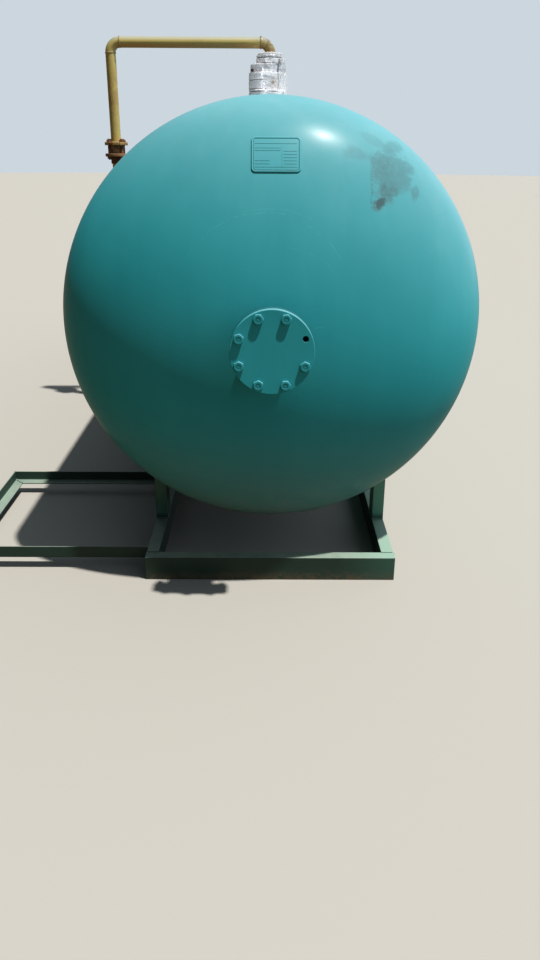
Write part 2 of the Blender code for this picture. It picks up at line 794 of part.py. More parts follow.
def build_riser_support():
    """Add the post behind the riser, the arm that ties it to the skid and the pipe clamp."""
    clamp_radius = PIPE_RADIUS + GAP + CLAMP_THICKNESS
    post_face = clamp_radius + CLAMP_STANDOFF
    post_edge = -RISER_OFFSET - ANGLE_LEG / 2
    place = frame_matrix((post_edge, post_face, 0), (1, 0, 0), (0, 1, 0), (0, 0, 1))
    node("riser_post", prism(angle_outline(), 0.0, POST_HEIGHT), "skid_paint", place)

    arm_start = -SKID_HALF_WIDTH - GAP
    arm_end = post_edge + ANGLE_LEG + GAP
    place = frame_matrix((arm_start, post_face, OUTRIGGER_LIFT), (0, 1, 0), (0, 0, 1), (-1, 0, 0))
    node("riser_arm", prism(angle_outline(), 0.0, arm_start - arm_end), "skid_paint", place)

    low = CLAMP_LEVEL - CLAMP_HEIGHT / 2
    high = CLAMP_LEVEL + CLAMP_HEIGHT / 2
    place = Matrix.Translation((-RISER_OFFSET, 0, 0))
    band = disc_profile(clamp_radius, low, high)
    clamp = node("riser_clamp", turned(band, PIPE_SIDES), "skid_paint", place)
    half = CLAMP_TAB_WIDTH / 2
    tab = [(-half, 0.0), (half, 0.0), (half, post_face - GAP), (-half, post_face - GAP)]
    tab_body = prism(tab, low + CLAMP_TAB_INSET, high - CLAMP_TAB_INSET)
    combine(clamp, cutter("clamp_tab", tab_body, place), "UNION")
    bore = disc_profile(PIPE_RADIUS + GAP, low - CLAMP_HEIGHT, high + CLAMP_HEIGHT)
    combine(clamp, cutter("clamp_bore", turned(bore, PIPE_SIDES), place))


def main():
    """Build the whole tank."""
    clear_scene()
    build_shell()
    build_heads()
    build_cover()
    build_nameplate()
    build_skid()
    build_legs()
    build_outrigger()
    build_top_valve()
    build_top_line()
    build_riser()
    build_fill_end()
    build_riser_support()


main()
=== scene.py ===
"""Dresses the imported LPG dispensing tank: enamelled vessel, bolted cover, skid, filling line and film wrap.

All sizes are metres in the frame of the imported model: +X right, +Y along the tank away from the bolted
cover, +Z up, the ground at z = 0.
"""

import logging
import math
from dataclasses import dataclass
from enum import Enum
from functools import cache, reduce
from typing import Any, Callable, Iterable, Optional, Sequence

import bmesh
import bpy
from mathutils import Matrix, Vector, noise


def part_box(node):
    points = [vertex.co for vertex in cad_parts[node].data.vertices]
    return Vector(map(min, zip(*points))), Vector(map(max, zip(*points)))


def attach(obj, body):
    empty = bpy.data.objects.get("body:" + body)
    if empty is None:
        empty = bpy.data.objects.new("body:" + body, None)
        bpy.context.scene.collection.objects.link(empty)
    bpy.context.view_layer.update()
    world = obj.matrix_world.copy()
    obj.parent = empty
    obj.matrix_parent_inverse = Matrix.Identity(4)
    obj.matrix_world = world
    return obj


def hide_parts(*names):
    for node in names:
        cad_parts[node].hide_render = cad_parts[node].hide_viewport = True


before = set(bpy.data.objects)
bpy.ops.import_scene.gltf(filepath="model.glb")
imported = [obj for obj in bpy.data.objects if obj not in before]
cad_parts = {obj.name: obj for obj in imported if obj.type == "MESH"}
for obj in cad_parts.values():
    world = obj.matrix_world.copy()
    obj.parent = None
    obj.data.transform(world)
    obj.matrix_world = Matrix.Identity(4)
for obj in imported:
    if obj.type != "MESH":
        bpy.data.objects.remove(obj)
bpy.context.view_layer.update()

LOG = logging.getLogger("lpg_dispensing_tank")
BODY = "root"
SMOOTH_ANGLE = math.radians(35)

X_AXIS = Vector((1, 0, 0))
Y_AXIS = Vector((0, 1, 0))
Z_AXIS = Vector((0, 0, 1))
SUNNY_SIDE = (0.32, -0.155, 1.0)
SIDES = (("left", -1), ("right", 1))

PLAY = 0.0003
WORN_MARGIN = 0.004
CORNER_CONE = math.radians(30)
HOLE_SIDES = 24
DRILL_REACH = 0.05
LEVEL = 0.999
POLE = 1e-6

Thing = bpy.types.Object
Draft = bmesh.types.BMesh
Point = Sequence[float]
Profile = list[tuple[float, float]]
Outline = list[tuple[float, float, float]]
Run = tuple[Sequence[Point], bool]
Ring = list[bmesh.types.BMVert]
Seat = tuple[Vector, Vector]
Colour = tuple[float, float, float, float]
Tint = tuple[float, float, float]
End = Callable[[float], float]


class Slot(Enum):
    """The record's material slot names, logged with each piece."""

    TANK = "tank_paint"
    SKID = "skid_paint"
    PIPE = "pipe_paint"
    RUST = "rusty_iron"
    FILM = "film_wrap"


# Node graphs


class Wire:
    """A node's output that takes part in Python arithmetic."""

    def __init__(self, graph: "Graph", socket: bpy.types.NodeSocket) -> None:
        """Keep the graph and the output socket."""
        self.graph = graph
        self.socket = socket

    def __add__(self, other: Any) -> "Wire":
        """Add."""
        return self.graph.maths("ADD", self, other)

    def __radd__(self, other: Any) -> "Wire":
        """Add, from the right."""
        return self.graph.maths("ADD", other, self)

    def __sub__(self, other: Any) -> "Wire":
        """Subtract."""
        return self.graph.maths("SUBTRACT", self, other)

    def __rsub__(self, other: Any) -> "Wire":
        """Subtract, from the right."""
        return self.graph.maths("SUBTRACT", other, self)

    def __mul__(self, other: Any) -> "Wire":
        """Multiply."""
        return self.graph.maths("MULTIPLY", self, other)

    def __rmul__(self, other: Any) -> "Wire":
        """Multiply, from the right."""
        return self.graph.maths("MULTIPLY", other, self)

    def __truediv__(self, other: Any) -> "Wire":
        """Divide."""
        return self.graph.maths("DIVIDE", self, other)

    def __abs__(self) -> "Wire":
        """Return the distance from zero."""
        return self.graph.maths("ABSOLUTE", self)

    def at_least(self, other: Any) -> "Wire":
        """Return the larger of two values."""
        return self.graph.maths("MAXIMUM", self, other)

    def at_most(self, other: Any) -> "Wire":
        """Return the smaller of two values."""
        return self.graph.maths("MINIMUM", self, other)

    def step(self, low: float, high: float) -> "Wire":
        """Return a smooth step from 0 at low to 1 at high, falling where low is above high."""
        sockets = {"Value": self, "From Min": low, "From Max": high}
        return self.graph.add("ShaderNodeMapRange", {"interpolation_type": "SMOOTHSTEP"}, sockets)


class Graph:
    """Adds nodes to one node tree and wires them."""

    def __init__(self, tree: bpy.types.NodeTree) -> None:
        """Keep the tree."""
        self.tree = tree

    def feed(self, target: bpy.types.NodeSocket, value: Any) -> None:
        """Link a wire to an input socket, or set its value.

        Args:
            target: the input socket.
            value: a wire, or a plain value.
        """
        if isinstance(value, Wire):
            self.tree.links.new(value.socket, target)
        else:
            target.default_value = value

    def add(
        self,
        kind: str,
        settings: Optional[dict[str, Any]] = None,
        sockets: Optional[dict[Any, Any]] = None,
        output: Any = 0,
    ) -> Wire:
        """Add one node.

        Args:
            kind: the node's type.
            settings: properties that are set before the sockets.
            sockets: values or wires for the inputs, by name or number.
            output: the name or number of the output to return.

        Returns:
            The chosen output.
        """
        node = self.tree.nodes.new(kind)
        for name, value in (settings or {}).items():
            setattr(node, name, value)
        for name, value in (sockets or {}).items():
            self.feed(node.inputs[name], value)
        return Wire(self, node.outputs[output])

    def maths(self, operation: str, *values: Any) -> Wire:
        """Return one Math node's result."""
        return self.add("ShaderNodeMath", {"operation": operation}, dict(enumerate(values)))

    def tint(self, under: Any, over: Any, amount: Any) -> Wire:
        """Return a colour laid over another by an amount."""
        return self.add("ShaderNodeMix", {"data_type": "RGBA"}, {0: amount, 6: under, 7: over}, output=2)

    def coats(self, under: Any, *coats: tuple[Any, Any]) -> Wire:
        """Lay colours over one another.

        Args:
            under: the lowest colour.
            coats: each further colour and its amount, in turn.

        Returns:
            The colour of them all.
        """
        for over, amount in coats:
            under = self.tint(under, over, amount)
        return under

    def distance(self, first: Wire, second: Wire) -> Wire:
        """Return the distance that two parts at right angles make."""
        return self.maths("SQRT", first * first + second * second)

    def place(self) -> Wire:
        """Return the object coordinates, which are the frame's metres."""
        return self.add("ShaderNodeTexCoord", output="Object")

    def split(self, vector: Wire) -> tuple[Wire, Wire, Wire]:
        """Split a vector.

        Args:
            vector: the vector.

        Returns:
            Its three parts.
        """
        first = self.add("ShaderNodeSeparateXYZ", None, {0: vector})
        outputs = first.socket.node.outputs
        return first, Wire(self, outputs[1]), Wire(self, outputs[2])

    def stretched(self, vector: Wire, scale: Point, turn: Point = (0, 0, 0)) -> Wire:
        """Return a vector turned and scaled along its axes."""
        return self.add("ShaderNodeMapping", None, {"Vector": vector, "Scale": scale, "Rotation": turn})

    def grain(
        self, vector: Wire, scale: float, detail: float = 2.0, rough: float = 0.5, warp: float = 0.0
    ) -> Wire:
        """Return a noise value about 0.5."""
        sockets = {"Vector": vector, "Scale": scale, "Detail": detail, "Roughness": rough, "Distortion": warp}
        return self.add("ShaderNodeTexNoise", None, sockets)

    def towards(self, direction: Point) -> Wire:
        """Return how far the surface faces a direction, from -1 to 1."""
        sockets = {0: self.add("ShaderNodeNewGeometry", output="Normal"), 1: Vector(direction).normalized()}
        return self.add("ShaderNodeVectorMath", {"operation": "DOT_PRODUCT"}, sockets, output="Value")

    def relief(self, height: Wire, depth: float, strength: float = 1.0, under: Optional[Wire] = None) -> Wire:
        """Return a normal bent by a height field.

        Args:
            height: the height, where 1 stands a depth above 0.
            depth: that depth in metres.
            strength: how much of it is used.
            under: a normal that this one is laid over.

        Returns:
            The bent normal.
        """
        sockets = {"Height": height, "Distance": depth, "Strength": strength}
        if under is not None:
            sockets["Normal"] = under
        return self.add("ShaderNodeBump", None, sockets)


def linear(red: float, green: float, blue: float) -> Colour:
    """Turn a display colour into scene light.

    Args:
        red: its red, from 0 to 255.
        green: its green.
        blue: its blue.

    Returns:
        The colour as a socket takes it.
    """
    parts = []
    for part in (red, green, blue):
        share = part / 255
        parts.append(share / 12.92 if share <= 0.04045 else ((share + 0.055) / 1.055) ** 2.4)
    return (*parts, 1.0)


# Finishes


@dataclass(frozen=True)
class Finish:
    """What every finish shares: it makes its material once."""

    name: str

    def surface(self, graph: Graph) -> dict[str, Any]:
        """Return the Principled shader's socket values and wires."""
        raise NotImplementedError

    @cache
    def material(self) -> bpy.types.Material:
        """Make the finish's material at its first use.

        Returns:
            The material.
        """
        material = bpy.data.materials.new(self.name)
        material.use_nodes = True
        shader = material.node_tree.nodes["Principled BSDF"]
        graph = Graph(material.node_tree)
        for name, value in self.surface(graph).items():
            graph.feed(shader.inputs[name], value)
        return material


@dataclass(frozen=True)
class Spot:
    """A soft patch on the front head, by its place right of and above the tank's axis."""

    right: float
    above: float
    wide: float
    tall: float
    tilt: float
    strength: float


@dataclass(frozen=True)
class Scuff:
    """A thin curved rub mark on the front head."""

    right: float
    above: float
    radius: float
    start: float
    sweep: float
    strength: float


STAIN = (
    Spot(0.358, 0.454, 0.032, 0.018, 42, 1.00),
    Spot(0.384, 0.496, 0.046, 0.036, 30, 0.70),
    Spot(0.378, 0.560, 0.058, 0.058, 0, 0.62),
    Spot(0.438, 0.550, 0.042, 0.054, -10, 0.56),
    Spot(0.488, 0.486, 0.016, 0.020, 0, 0.50),
    Spot(0.402, 0.620, 0.050, 0.026, 10, 0.44),
    Spot(0.290, 0.604, 0.046, 0.020, -25, 0.34),
    Spot(0.350, 0.645, 0.050, 0.016, -25, 0.32),
)
RUB_MARKS = (
    Scuff(-0.030, 0.130, 0.300, 25, 130, 0.50),
    Scuff(-0.020, 0.110, 0.332, 48, 60, 0.35),
    Scuff(0.010, 0.060, 0.268, 20, 75, 0.30),
    Scuff(0.168, 0.020, 0.045, 20, 120, 0.80),
    Scuff(-0.090, -0.260, 0.420, 150, 35, 0.25),
    Scuff(0.200, -0.240, 0.360, -20, 50, 0.22),
)


@dataclass(frozen=True)
class Enamel(Finish):
    """Glossy turquoise enamel: chalk and a painted highlight on its sunny side, a brown tint low down, soil
    splashes below.
    """

    colour: Colour = linear(48, 154, 163)
    deep: Colour = linear(40, 144, 154)
    chalk: Colour = linear(164, 164, 170)
    soil: Colour = linear(122, 106, 84)
    gloss: float = 0.30
    body_shine: float = 0.05
    coat: float = 0.026
    coat_rough: float = 0.19
    brushed: float = 0.0

    def surface(self, graph: Graph) -> dict[str, Any]:
        """Wire enamel with drifting tone, faint rain runs, chalk with a painted highlight towards the sun,
        and a brown tint with soil splashes low down.

        Args:
            graph: the material's graph.

        Returns:
            The shader's socket values and wires.
        """
        place = graph.place()
        height = graph.split(place)[2]
        drift = graph.grain(place, 1.7, 3, 0.55)
        blotch = graph.grain(place, 9.0, 4, 0.6, 0.4)
        runs = graph.grain(graph.stretched(place, (11, 11, 0.8)), 1.0, 4, 0.6)
        speck = graph.grain(place, 190.0, 1, 0.5).step(0.70, 0.78)
        # Towards the sun the enamel is paler: partly chalked paint, partly a painted highlight that whitens
        # the lit side.
        faded = graph.towards(SUNNY_SIDE).step(0.15, 0.95)
        chalk_and_highlight = faded * (blotch.step(0.2, 0.9) * 0.06 + runs.step(0.45, 0.85) * 0.06 + 0.23)
        # A brown tint that grows towards the bottom of the tank.
        browner_low = (height + blotch * 0.10).step(0.86, 0.24) * 0.40
        splash = (height + blotch * 0.22).step(0.52, 0.24) * graph.grain(place, 26.0, 5, 0.7).step(0.38, 0.72)
        tone = (drift * 0.7 + runs * 0.3).step(0.30, 0.72)
        colour = graph.coats(
            self.deep,
            (self.colour, tone),
            (self.chalk, chalk_and_highlight + speck * 0.06),
            (self.soil, (splash * 0.15 + browner_low).at_most(1.0)),
            (self.chalk, splash * height.step(0.44, 0.30) * 0.44),
        )
        rough = blotch * 0.10 + splash * 0.35 + (self.gloss - 0.05)
        peel = graph.relief(graph.grain(place, 420.0, 2, 0.5), 0.0004, 0.25)
        if self.brushed:
            strokes = graph.grain(graph.stretched(place, (60, 60, 420), (0.1, 0.3, 0.2)), 1.0, 3, 0.6)
            peel = graph.relief(strokes, 0.0006, self.brushed, peel)
        return self.marked(graph, place, colour, rough, peel)

    def marked(self, graph: Graph, place: Wire, colour: Wire, rough: Wire, normal: Wire) -> dict[str, Any]:
        """Return the sockets of enamel that carries no marks of its own."""
        return self.sockets(colour, rough, normal, self.coat)

    def sockets(self, colour: Wire, rough: Wire, normal: Wire, coat: Any) -> dict[str, Any]:
        """Lay out a dull body under a thin glossy coat.

        Args:
            colour: the body's colour.
            rough: its roughness.
            normal: its bent normal.
            coat: how much of the coat shows.

        Returns:
            The shader's socket values and wires.
        """
        return {
            "Base Color": colour,
            "Roughness": rough,
            "Specular IOR Level": self.body_shine,
            "Normal": normal,
            "Coat Weight": coat,
            "Coat Roughness": self.coat_rough,
        }


@dataclass(frozen=True)
class MarkedEnamel(Enamel):
    """The front head's enamel, with its dull stain and curved rub marks."""

    axis_height: float = 1.0
    stain_colour: Colour = linear(78, 122, 128)
    stain_core: Colour = linear(64, 88, 92)
    rub_colour: Colour = linear(112, 196, 200)

    def spot(self, graph: Graph, right: Wire, above: Wire, ragged: Wire, spot: Spot) -> Wire:
        """Wire one soft patch with a ragged edge.

        Args:
            graph: the material's graph.
            right: the distance right of the tank's axis.
            above: the height above it.
            ragged: what frays the patch's edge.
            spot: the patch.

        Returns:
            How strongly the patch covers each place.
        """
        across = right - spot.right
        along = above - spot.above
        turn = math.radians(spot.tilt)
        first = (across * math.cos(turn) + along * math.sin(turn)) / spot.wide
        second = (along * math.cos(turn) - across * math.sin(turn)) / spot.tall
        return (graph.distance(first, second) + ragged).step(1.50, 0.45) * spot.strength

    def rub(self, graph: Graph, right: Wire, above: Wire, wander: Wire, scuff: Scuff) -> Wire:
        """Wire one thin arc that fades at its ends.

        Args:
            graph: the material's graph.
            right: the distance right of the tank's axis.
            above: the height above it.
            wander: what bends the arc.
            scuff: the rub mark.

        Returns:
            How strongly the mark covers each place.
        """
        across = right - scuff.right
        along = above - scuff.above
        line = abs(graph.distance(across, along) + wander - scuff.radius).step(0.0022, 0.0)
        middle = math.radians(scuff.start + scuff.sweep / 2)
        facing = (across * math.cos(middle) + along * math.sin(middle)) / scuff.radius
        edge = math.cos(math.radians(scuff.sweep / 2))
        return line * facing.step(edge - 0.02, edge + 0.10) * scuff.strength

    def marked(self, graph: Graph, place: Wire, colour: Wire, rough: Wire, normal: Wire) -> dict[str, Any]:
        """Lay the stain and the rub marks over the enamel.

        Args:
            graph: the material's graph.
            place: the object coordinates.
            colour: the enamel's colour.
            rough: its roughness.
            normal: its bent normal.

        Returns:
            The shader's socket values and wires.
        """
        right, _, height = graph.split(place)
        above = height - self.axis_height
        cloud = graph.grain(place, 16.0, 5, 0.62)
        mottle = graph.grain(place, 60.0, 4, 0.7)
        ragged = (cloud - 0.5) * 3.0 + (mottle - 0.5) * 1.8
        stain = reduce(Wire.at_least, (self.spot(graph, right, above, ragged, spot) for spot in STAIN))
        border = (right + mottle * 0.010).step(0.322, 0.338).at_least(above.step(0.575, 0.600))
        stain = stain * border * (cloud * 0.7 + mottle * 1.3 + 0.05)
        speckle = graph.grain(place, 150.0, 3, 0.7).step(0.53, 0.60)
        dots = abs(right + cloud * 0.014 - 0.338).step(0.0060, 0.0010) * speckle
        dots = dots * above.step(0.43, 0.46) * above.step(0.57, 0.52)
        wander = (graph.grain(place, 7.0, 2, 0.5) - 0.5) * 0.022
        rubs = reduce(Wire.at_least, (self.rub(graph, right, above, wander, scuff) for scuff in RUB_MARKS))
        rubs = rubs * graph.grain(place, 55.0, 3, 0.6).step(0.42, 0.66)
        colour = graph.coats(
            colour,
            (self.stain_colour, stain.step(0.0, 0.75) * 0.95),
            (self.stain_core, (stain.step(0.62, 1.0) * 0.85).at_least(dots * 0.7)),
            (self.rub_colour, rubs * 0.40),
        )
        shine = (1 - stain.step(0.05, 0.5)) * (mottle * 1.2 + cloud * 0.8)
        return self.sockets(colour, rough + stain * 0.38 + rubs * 0.15, normal, shine * self.coat)


@dataclass(frozen=True)
class FramePaint(Finish):
    """Thin dark green paint on rolled steel, worn to rust at its edges and dusty on top, with painted
    sunlight on the right and painted shade low down.
    """

    colour: Colour = linear(36, 84, 74)
    faded: Colour = linear(62, 108, 94)
    painted_sunlight: Colour = linear(104, 178, 158)
    painted_shading: Colour = linear(6, 26, 17)
    rust: Colour = linear(92, 56, 36)
    bare: Colour = linear(120, 116, 106)
    dust: Colour = linear(134, 146, 132)
    soil: Colour = linear(104, 86, 64)

    def surface(self, graph: Graph) -> dict[str, Any]:
        """Wire the paint, its worn edges, rust spots, dust, the soil along the ground, painted sunlight and
        painted shade.

        Args:
            graph: the material's graph.

        Returns:
            The shader's socket values and wires.
        """
        place = graph.place()
        right, _, height = graph.split(place)
        edge = graph.add("ShaderNodeAttribute", {"attribute_name": "edge"}, output="Fac")
        drift = graph.grain(place, 5.0, 4, 0.6)
        fine = graph.grain(place, 70.0, 5, 0.65)
        medium = graph.grain(place, 24.0, 4, 0.6, 0.5)
        worn = (edge * 0.48 + fine * 0.45 + drift * 0.25).step(0.78, 0.90)
        chips = (medium * 0.6 + fine * 0.4).step(0.655, 0.695)
        rusty = worn.at_least(chips)
        sky = graph.towards(Z_AXIS).step(0.4, 0.95)
        dusty = sky * ((drift * 0.5 + medium * 0.5).step(0.25, 0.75) * 0.35 + 0.55)
        soiled = (height + medium * 0.05).step(0.075, 0.01) * fine.step(0.30, 0.60)
        # Side faces near the ground are darkened: painted shade.
        painted_shading_share = height.step(0.135, 0.105) * (1 - sky) * (0.60 + drift * 0.30)
        colour = graph.coats(
            self.colour,
            (self.faded, drift.step(0.35, 0.7)),
            # Lighter to the right, where the sun clears the tank: painted sunlight.
            (self.painted_sunlight, right.step(0.25, 0.50) * 0.7),
            (self.rust, rusty * 0.85),
            (self.bare, (edge + fine * 0.6).step(1.28, 1.42) * 0.5),
            (self.painted_shading, painted_shading_share),
            (self.dust, dusty),
            (self.soil, soiled * 0.75),
        )
        rough = drift * 0.12 + rusty * 0.22 + dusty * 0.25 + (soiled + painted_shading_share) * 0.25 + 0.38
        flake = graph.relief(1 - rusty, 0.0006, 0.7)
        skin = graph.relief(fine, 0.0005, 0.5, flake)
        return {"Base Color": colour, "Roughness": rough, "Normal": skin}


@dataclass(frozen=True)
class PipePaint(Finish):
    """Chalky ochre paint on steel pipe, rubbed brown where the pipe was handled and welded, warm brown
    painted shade underneath.
    """

    colour: Colour = linear(186, 166, 92)
    chalk: Colour = linear(138, 142, 124)
    brown: Colour = linear(138, 92, 54)
    painted_shading: Colour = linear(194, 118, 60)
    rust: Colour = linear(84, 64, 36)
    rubbed_from: float = -0.16
    rubbed_to: float = -0.02

    def surface(self, graph: Graph) -> dict[str, Any]:
        """Wire the paint with chalking above, brown stretches, rust in the worn bend and painted shade below.

        Args:
            graph: the material's graph.

        Returns:
            The shader's socket values and wires.
        """
        place = graph.place()
        right, _, height = graph.split(place)
        upwards = graph.towards(Z_AXIS)
        drift = graph.grain(graph.stretched(place, (2.2, 2.2, 1.1)), 1.6, 3, 0.6)
        medium = graph.grain(place, 28.0, 5, 0.65, 0.4)
        fine = graph.grain(place, 130.0, 4, 0.6)
        stretch = (height - 1.93).at_least(1.93 - height).step(0.22, 0.04) * right.step(-0.85, -0.90)
        browned = (stretch * 0.55 + drift.step(0.45, 0.75) * 0.45) * medium.step(0.25, 0.7)
        rubbed = right.step(self.rubbed_from, self.rubbed_to) * height.step(1.9, 2.0)
        worn = (rubbed * 0.30 + medium * 0.6 + fine * 0.2).step(0.58, 0.74)
        # The underside turns warm brown: painted shade with the warm light bounced from the ground.
        painted_shading_share = upwards.step(0.15, -0.75) * (medium * 0.3 + 0.70) * (1 - rubbed * 0.8)
        pale = (upwards.step(0.0, 0.80) + rubbed * upwards.step(-0.1, 0.5) * 0.5).at_most(1.0)
        colour = graph.coats(
            self.colour,
            (self.brown, browned * 0.8),
            (self.painted_shading, painted_shading_share),
            (self.chalk, pale * 0.85 + fine.step(0.6, 0.75) * 0.10),
            (self.rust, worn * (rubbed * 0.45 + 0.25)),
        )
        rough = 0.42 + medium * 0.16 + worn * 0.25
        bump = graph.relief(medium, 0.0008, 0.4)
        bump = graph.relief(fine, 0.0004, 0.5, bump)
        return {"Base Color": colour, "Roughness": rough, "Normal": bump}


@dataclass(frozen=True)
class Rust(Finish):
    """Brown rust over old castings and bolts."""

    dark: Colour = linear(84, 52, 38)
    red: Colour = linear(130, 78, 50)
    orange: Colour = linear(176, 114, 68)
    paint: Colour = linear(160, 130, 66)
    painted: float = 0.0

    def surface(self, graph: Graph) -> dict[str, Any]:
        """Wire dark, red and orange rust in layers, with old paint left on it in places.

        Args:
            graph: the material's graph.

        Returns:
            The shader's socket values and wires.
        """
        place = graph.place()
        broad = graph.grain(place, 18.0, 4, 0.6, 0.6)
        fine = graph.grain(place, 95.0, 5, 0.7, 0.3)
        left = (broad * 0.7 + fine * 0.3 + self.painted * 0.3).step(0.62, 0.68)
        colour = graph.coats(
            self.dark,
            (self.red, (broad * 0.6 + fine * 0.4).step(0.36, 0.60)),
            (self.orange, (fine * 0.7 + broad * 0.3).step(0.52, 0.70)),
            (self.paint, left),
        )
        rough = 0.92 - left * 0.35 - broad * 0.1
        metallic = 0.25 - left * 0.25
        bump = graph.relief(broad, 0.002, 0.5)
        bump = graph.relief(fine, 0.001, 0.8, bump)
        return {"Base Color": colour, "Roughness": rough, "Metallic": metallic, "Normal": bump}


@dataclass(frozen=True)
class Fold:
    """A fold where a layer of film ends, drawn in and painted dark as its shade: its height, half width and
    depth, and its two end angles.
    """

    level: float
    half: float
    depth: float
    start: float
    end: float


FOLDS = (
    Fold(2.1241, 0.0040, 0.0060, 150, 420),
    Fold(2.0940, 0.0018, 0.0030, 230, 300),
    Fold(2.0035, 0.0022, 0.0050, 150, 264),
    Fold(1.9900, 0.0014, 0.0020, 262, 290),
    Fold(1.9560, 0.0020, 0.0050, 150, 262),
    Fold(1.9420, 0.0024, 0.0060, 150, 262),
    Fold(1.9385, 0.0024, 0.0050, 270, 300),
)


@dataclass(frozen=True)
class StretchFilm(Finish):
    """Creased stretch film, whiter where its layers lie thick, with grey painted shade along its creases and
    dark painted shade in its folds.
    """

    thin: Colour = linear(206, 208, 214)
    thick: Colour = linear(232, 232, 236)
    tinted: Colour = linear(146, 132, 122)
    dull: Colour = linear(150, 152, 158)
    shade: Colour = linear(66, 68, 76)
    clearest: float = 1.0
    densest: float = 1.0
    depth: float = 0.012
    tint_height: float = 1.990
    tint_right: float = 0.016
    dull_height: float = 2.080
    seam_right: float = 0.048
    collar_from: float = 2.146
    streaked: float = 0.8

    def folds(self, graph: Graph, place: Wire, waver: Wire) -> Wire:
        """Wire the painted shade in the grooves where layers end.

        Args:
            graph: the material's graph.
            place: the object coordinates.
            waver: what bends the lines up and down.

        Returns:
            How strongly a fold's line crosses each place.
        """
        right, deep, height = graph.split(place)
        around = graph.maths("ARCTAN2", deep, right) * (180 / math.pi) + 300
        turn = graph.maths("FLOORED_MODULO", around, 360.0) + 60
        lines = []
        for fold in FOLDS:
            near = abs(height + waver - fold.level).step(fold.half * 0.9, fold.half * 0.2)
            lines.append(near * (turn - fold.start).at_most(fold.end - turn).step(0.0, 8.0))
        return reduce(Wire.at_least, lines)

    def surface(self, graph: Graph) -> dict[str, Any]:
        """Wire milky film with wound bands, creases with painted shade along them, and a rusty tint that
        shows through in front.

        Args:
            graph: the material's graph.

        Returns:
            The shader's socket values and wires.
        """
        place = graph.place()
        right, _, height = graph.split(place)
        wound = graph.grain(graph.stretched(place, (5, 5, 70), (0.10, 0.06, 0)), 1.0, 3, 0.6)
        crease = graph.grain(graph.stretched(place, (20, 20, 75), (0.5, 0.3, 0)), 1.0, 4, 0.65, 0.8)
        layers = (wound * 0.55 + crease * 0.45).step(0.36, 0.62)
        drawn = graph.grain(graph.stretched(place, (40, 40, 5)), 1.0, 3, 0.6)
        streaks = abs(drawn - 0.5).step(0.040, 0.010) * right.step(0.035, 0.055)
        slant = (height - self.dull_height) * 0.25 + self.seam_right
        seam = abs(right + (wound - 0.5) * 0.030 + (crease - 0.5) * 0.020 - slant).step(0.007, 0.003)
        seam = seam * height.step(2.040, 2.065) * height.step(2.122, 2.112)
        streaks = (streaks * self.streaked).at_least(seam)
        # Grey lines along the creases: painted shade.
        crease_shade = abs(crease - 0.5).step(0.030, 0.0)
        blots = graph.grain(place, 32.0, 4, 0.6).step(0.42, 0.58)
        lid = height.step(2.127, 2.131) * height.step(2.149, 2.143) * (blots * 0.3 + 0.6)
        blots = (blots * abs(height - self.dull_height).step(0.045, 0.030)).at_least(lid)
        across = (right - self.tint_right) / 0.010
        along = (height - self.tint_height) / 0.012
        far = graph.distance(across, along)
        seen = far.step(1.5, 0.6).at_least(far.step(5.0, 1.0) * crease.step(0.35, 0.6) * 0.7)
        collar = height.step(self.collar_from, self.collar_from + 0.004) * (crease.step(0.3, 0.6) * 0.4 + 0.6)
        core = (far + (drawn - 0.5) * 3.0).step(0.9, 0.2) * 0.55
        # Dark: painted shade in the folds, with the dark streaks and the dark middle of the rusty spot.
        dark = self.folds(graph, place, (crease - 0.5) * 0.004).at_least(streaks * 0.7).at_least(core)
        colour = graph.coats(
            self.thin,
            (self.thick, layers),
            (self.dull, (blots * 0.8).at_least(crease_shade * 0.5)),
            (self.tinted, seen.at_least(collar) * 0.9),
            (self.shade, dark * 0.9),
        )
        clear = layers * (self.densest - self.clearest) + self.clearest
        return {
            "Base Color": colour,
            "Roughness": 0.16 + crease * 0.18,
            "Alpha": (clear + streaks * 0.4).at_most(1.0),
            "Subsurface Weight": 0.7,
            "Subsurface Radius": (1.0, 1.0, 1.0),
            "Subsurface Scale": self.depth,
            "Normal": graph.relief(crease, 0.0022, 0.6),
            "Coat Weight": 0.3,
            "Coat Roughness": 0.12,
        }


@dataclass(frozen=True)
class JointSheet(Finish):
    """Compressed fibre sheet, dark and matt."""

    colour: Colour = linear(52, 58, 58)
    pale: Colour = linear(84, 90, 88)

    def surface(self, graph: Graph) -> dict[str, Any]:
        """Wire a mottled dark sheet.

        Args:
            graph: the material's graph.

        Returns:
            The shader's socket values and wires.
        """
        fibres = graph.grain(graph.place(), 240.0, 4, 0.7)
        colour = graph.tint(self.colour, self.pale, fibres.step(0.4, 0.7))
        skin = graph.relief(fibres, 0.0004, 0.6)
        return {"Base Color": colour, "Roughness": 0.75 + fibres * 0.2, "Normal": skin}


@dataclass(frozen=True)
class FloorPaint(Finish):
    """The plain floor, whose bounced light is warmer than what the camera sees."""

    colour: Colour = linear(150, 147, 140)
    bounce: Colour = linear(100, 90, 70)

    def surface(self, graph: Graph) -> dict[str, Any]:
        """Return the floor's two colours, by what looks at it."""
        seen = graph.add("ShaderNodeLightPath", output="Is Camera Ray")
        return {"Base Color": graph.tint(self.bounce, self.colour, seen), "Roughness": 0.9}


ENAMEL = Enamel("enamel")
HEAD_ENAMEL = MarkedEnamel("head_enamel")
COVER_ENAMEL = Enamel("cover_enamel", gloss=0.36, brushed=0.15)
